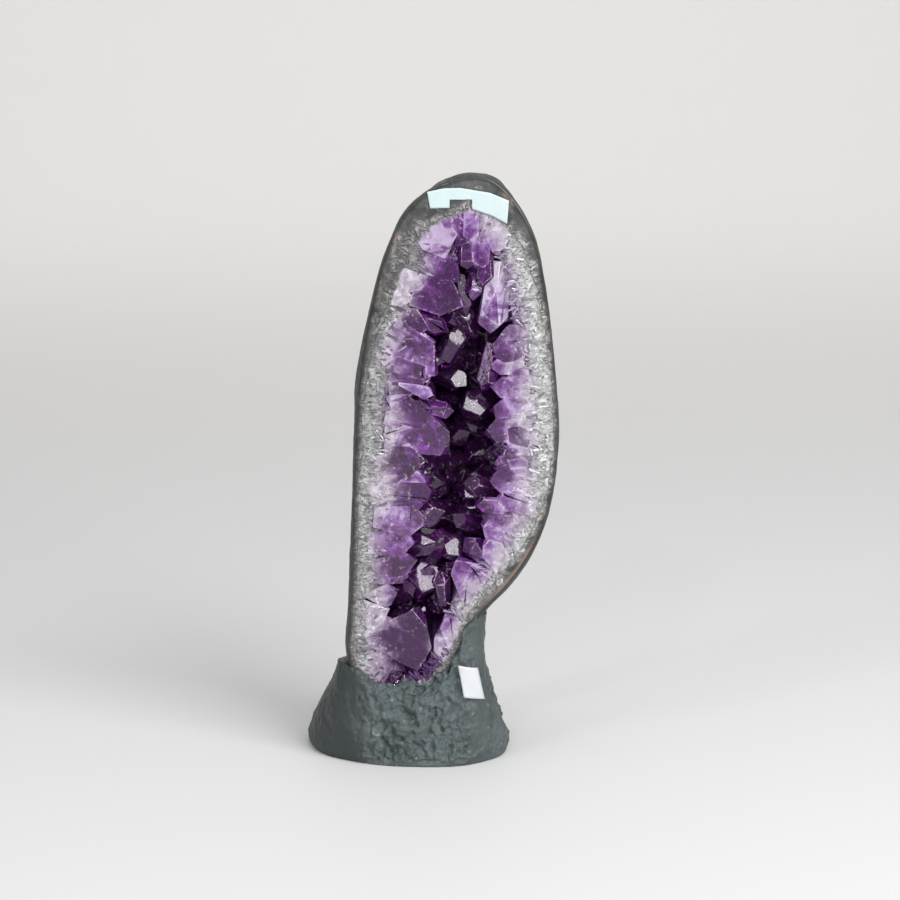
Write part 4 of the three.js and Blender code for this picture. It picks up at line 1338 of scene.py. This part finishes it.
def add_lights():
    middle = (0, 0, 0.14)
    add_area("key", (0.95, -1.05, 1.05), middle, (1.0, 1.0), 26.5)
    add_area("strip", (-0.9, -0.9, 0.9), middle, (0.2, 0.9), 3)
    add_area("front", (0.25, -1.3, 0.75), middle, (1.0, 1.0), 5)
    add_area("spark", (-0.35, -1.2, 1.0), middle, (0.07, 0.07), 1.6)
    add_area("top", (0.1, -0.1, 1.5), middle, (0.6, 0.6), 3)
    add_area("backdrop", (0.0, 1.6, 2.4), (0.0, 3.0, 0.7), (3.0, 0.5), 9)
    world = bpy.data.worlds.new("studio")
    world.use_nodes = True
    nodes, links = world.node_tree.nodes, world.node_tree.links
    place = nodes.new("ShaderNodeTexCoord")
    height = nodes.new("ShaderNodeSeparateXYZ")
    ramp = nodes.new("ShaderNodeValToRGB")
    links.new(place.outputs["Generated"], height.inputs[0])
    links.new(height.outputs["Z"], ramp.inputs["Fac"])
    links.new(ramp.outputs["Color"], nodes["Background"].inputs["Color"])
    stops = ramp.color_ramp.elements
    stops[0].position, stops[0].color = 0.0, (0.5, 0.5, 0.5, 1)
    stops[1].position, stops[1].color = 0.95, (1.0, 0.99, 0.98, 1)
    nodes["Background"].inputs["Strength"].default_value = 0.62
    bpy.context.scene.world = world


def add_camera():
    camera = bpy.data.cameras.new("camera")
    camera.lens = 100
    camera.sensor_width = 36
    holder = bpy.data.objects.new("camera", camera)
    holder.location = (0.0089, -1.10495, 0.33083)
    holder.rotation_euler = (math.radians(80), 0, 0)
    bpy.context.scene.collection.objects.link(holder)
    bpy.context.scene.camera = holder


def set_look():
    scene = bpy.context.scene
    scene.view_settings.view_transform = "Standard"
    scene.cycles.use_denoising = True
    scene.cycles.max_bounces = 14
    scene.cycles.transmission_bounces = 12
    scene.cycles.sample_clamp_indirect = 6.0


# ---- the object ----

weight_paper = paper_material("weight_paper", (0.5, 0.6, 0.61))
price_paper = paper_material("price_paper", (0.54, 0.56, 0.59))

finish_piece(build_rind(), rind_material(), "geode_rind")
finish_piece(build_bed(), quartz_material(), "crystal_lining")
finish_piece(build_crystals(), amethyst_material(), "crystal_lining")
finish_piece(build_needles(), needle_material(), "crystal_lining")
finish_piece(build_foot(), cement_material(), "cement_foot")
finish_piece(build_weight_label(), weight_paper, "weight_label")
finish_piece(build_price_label(), price_paper, "price_label")
add_stage()
add_lights()
add_camera()
set_look()
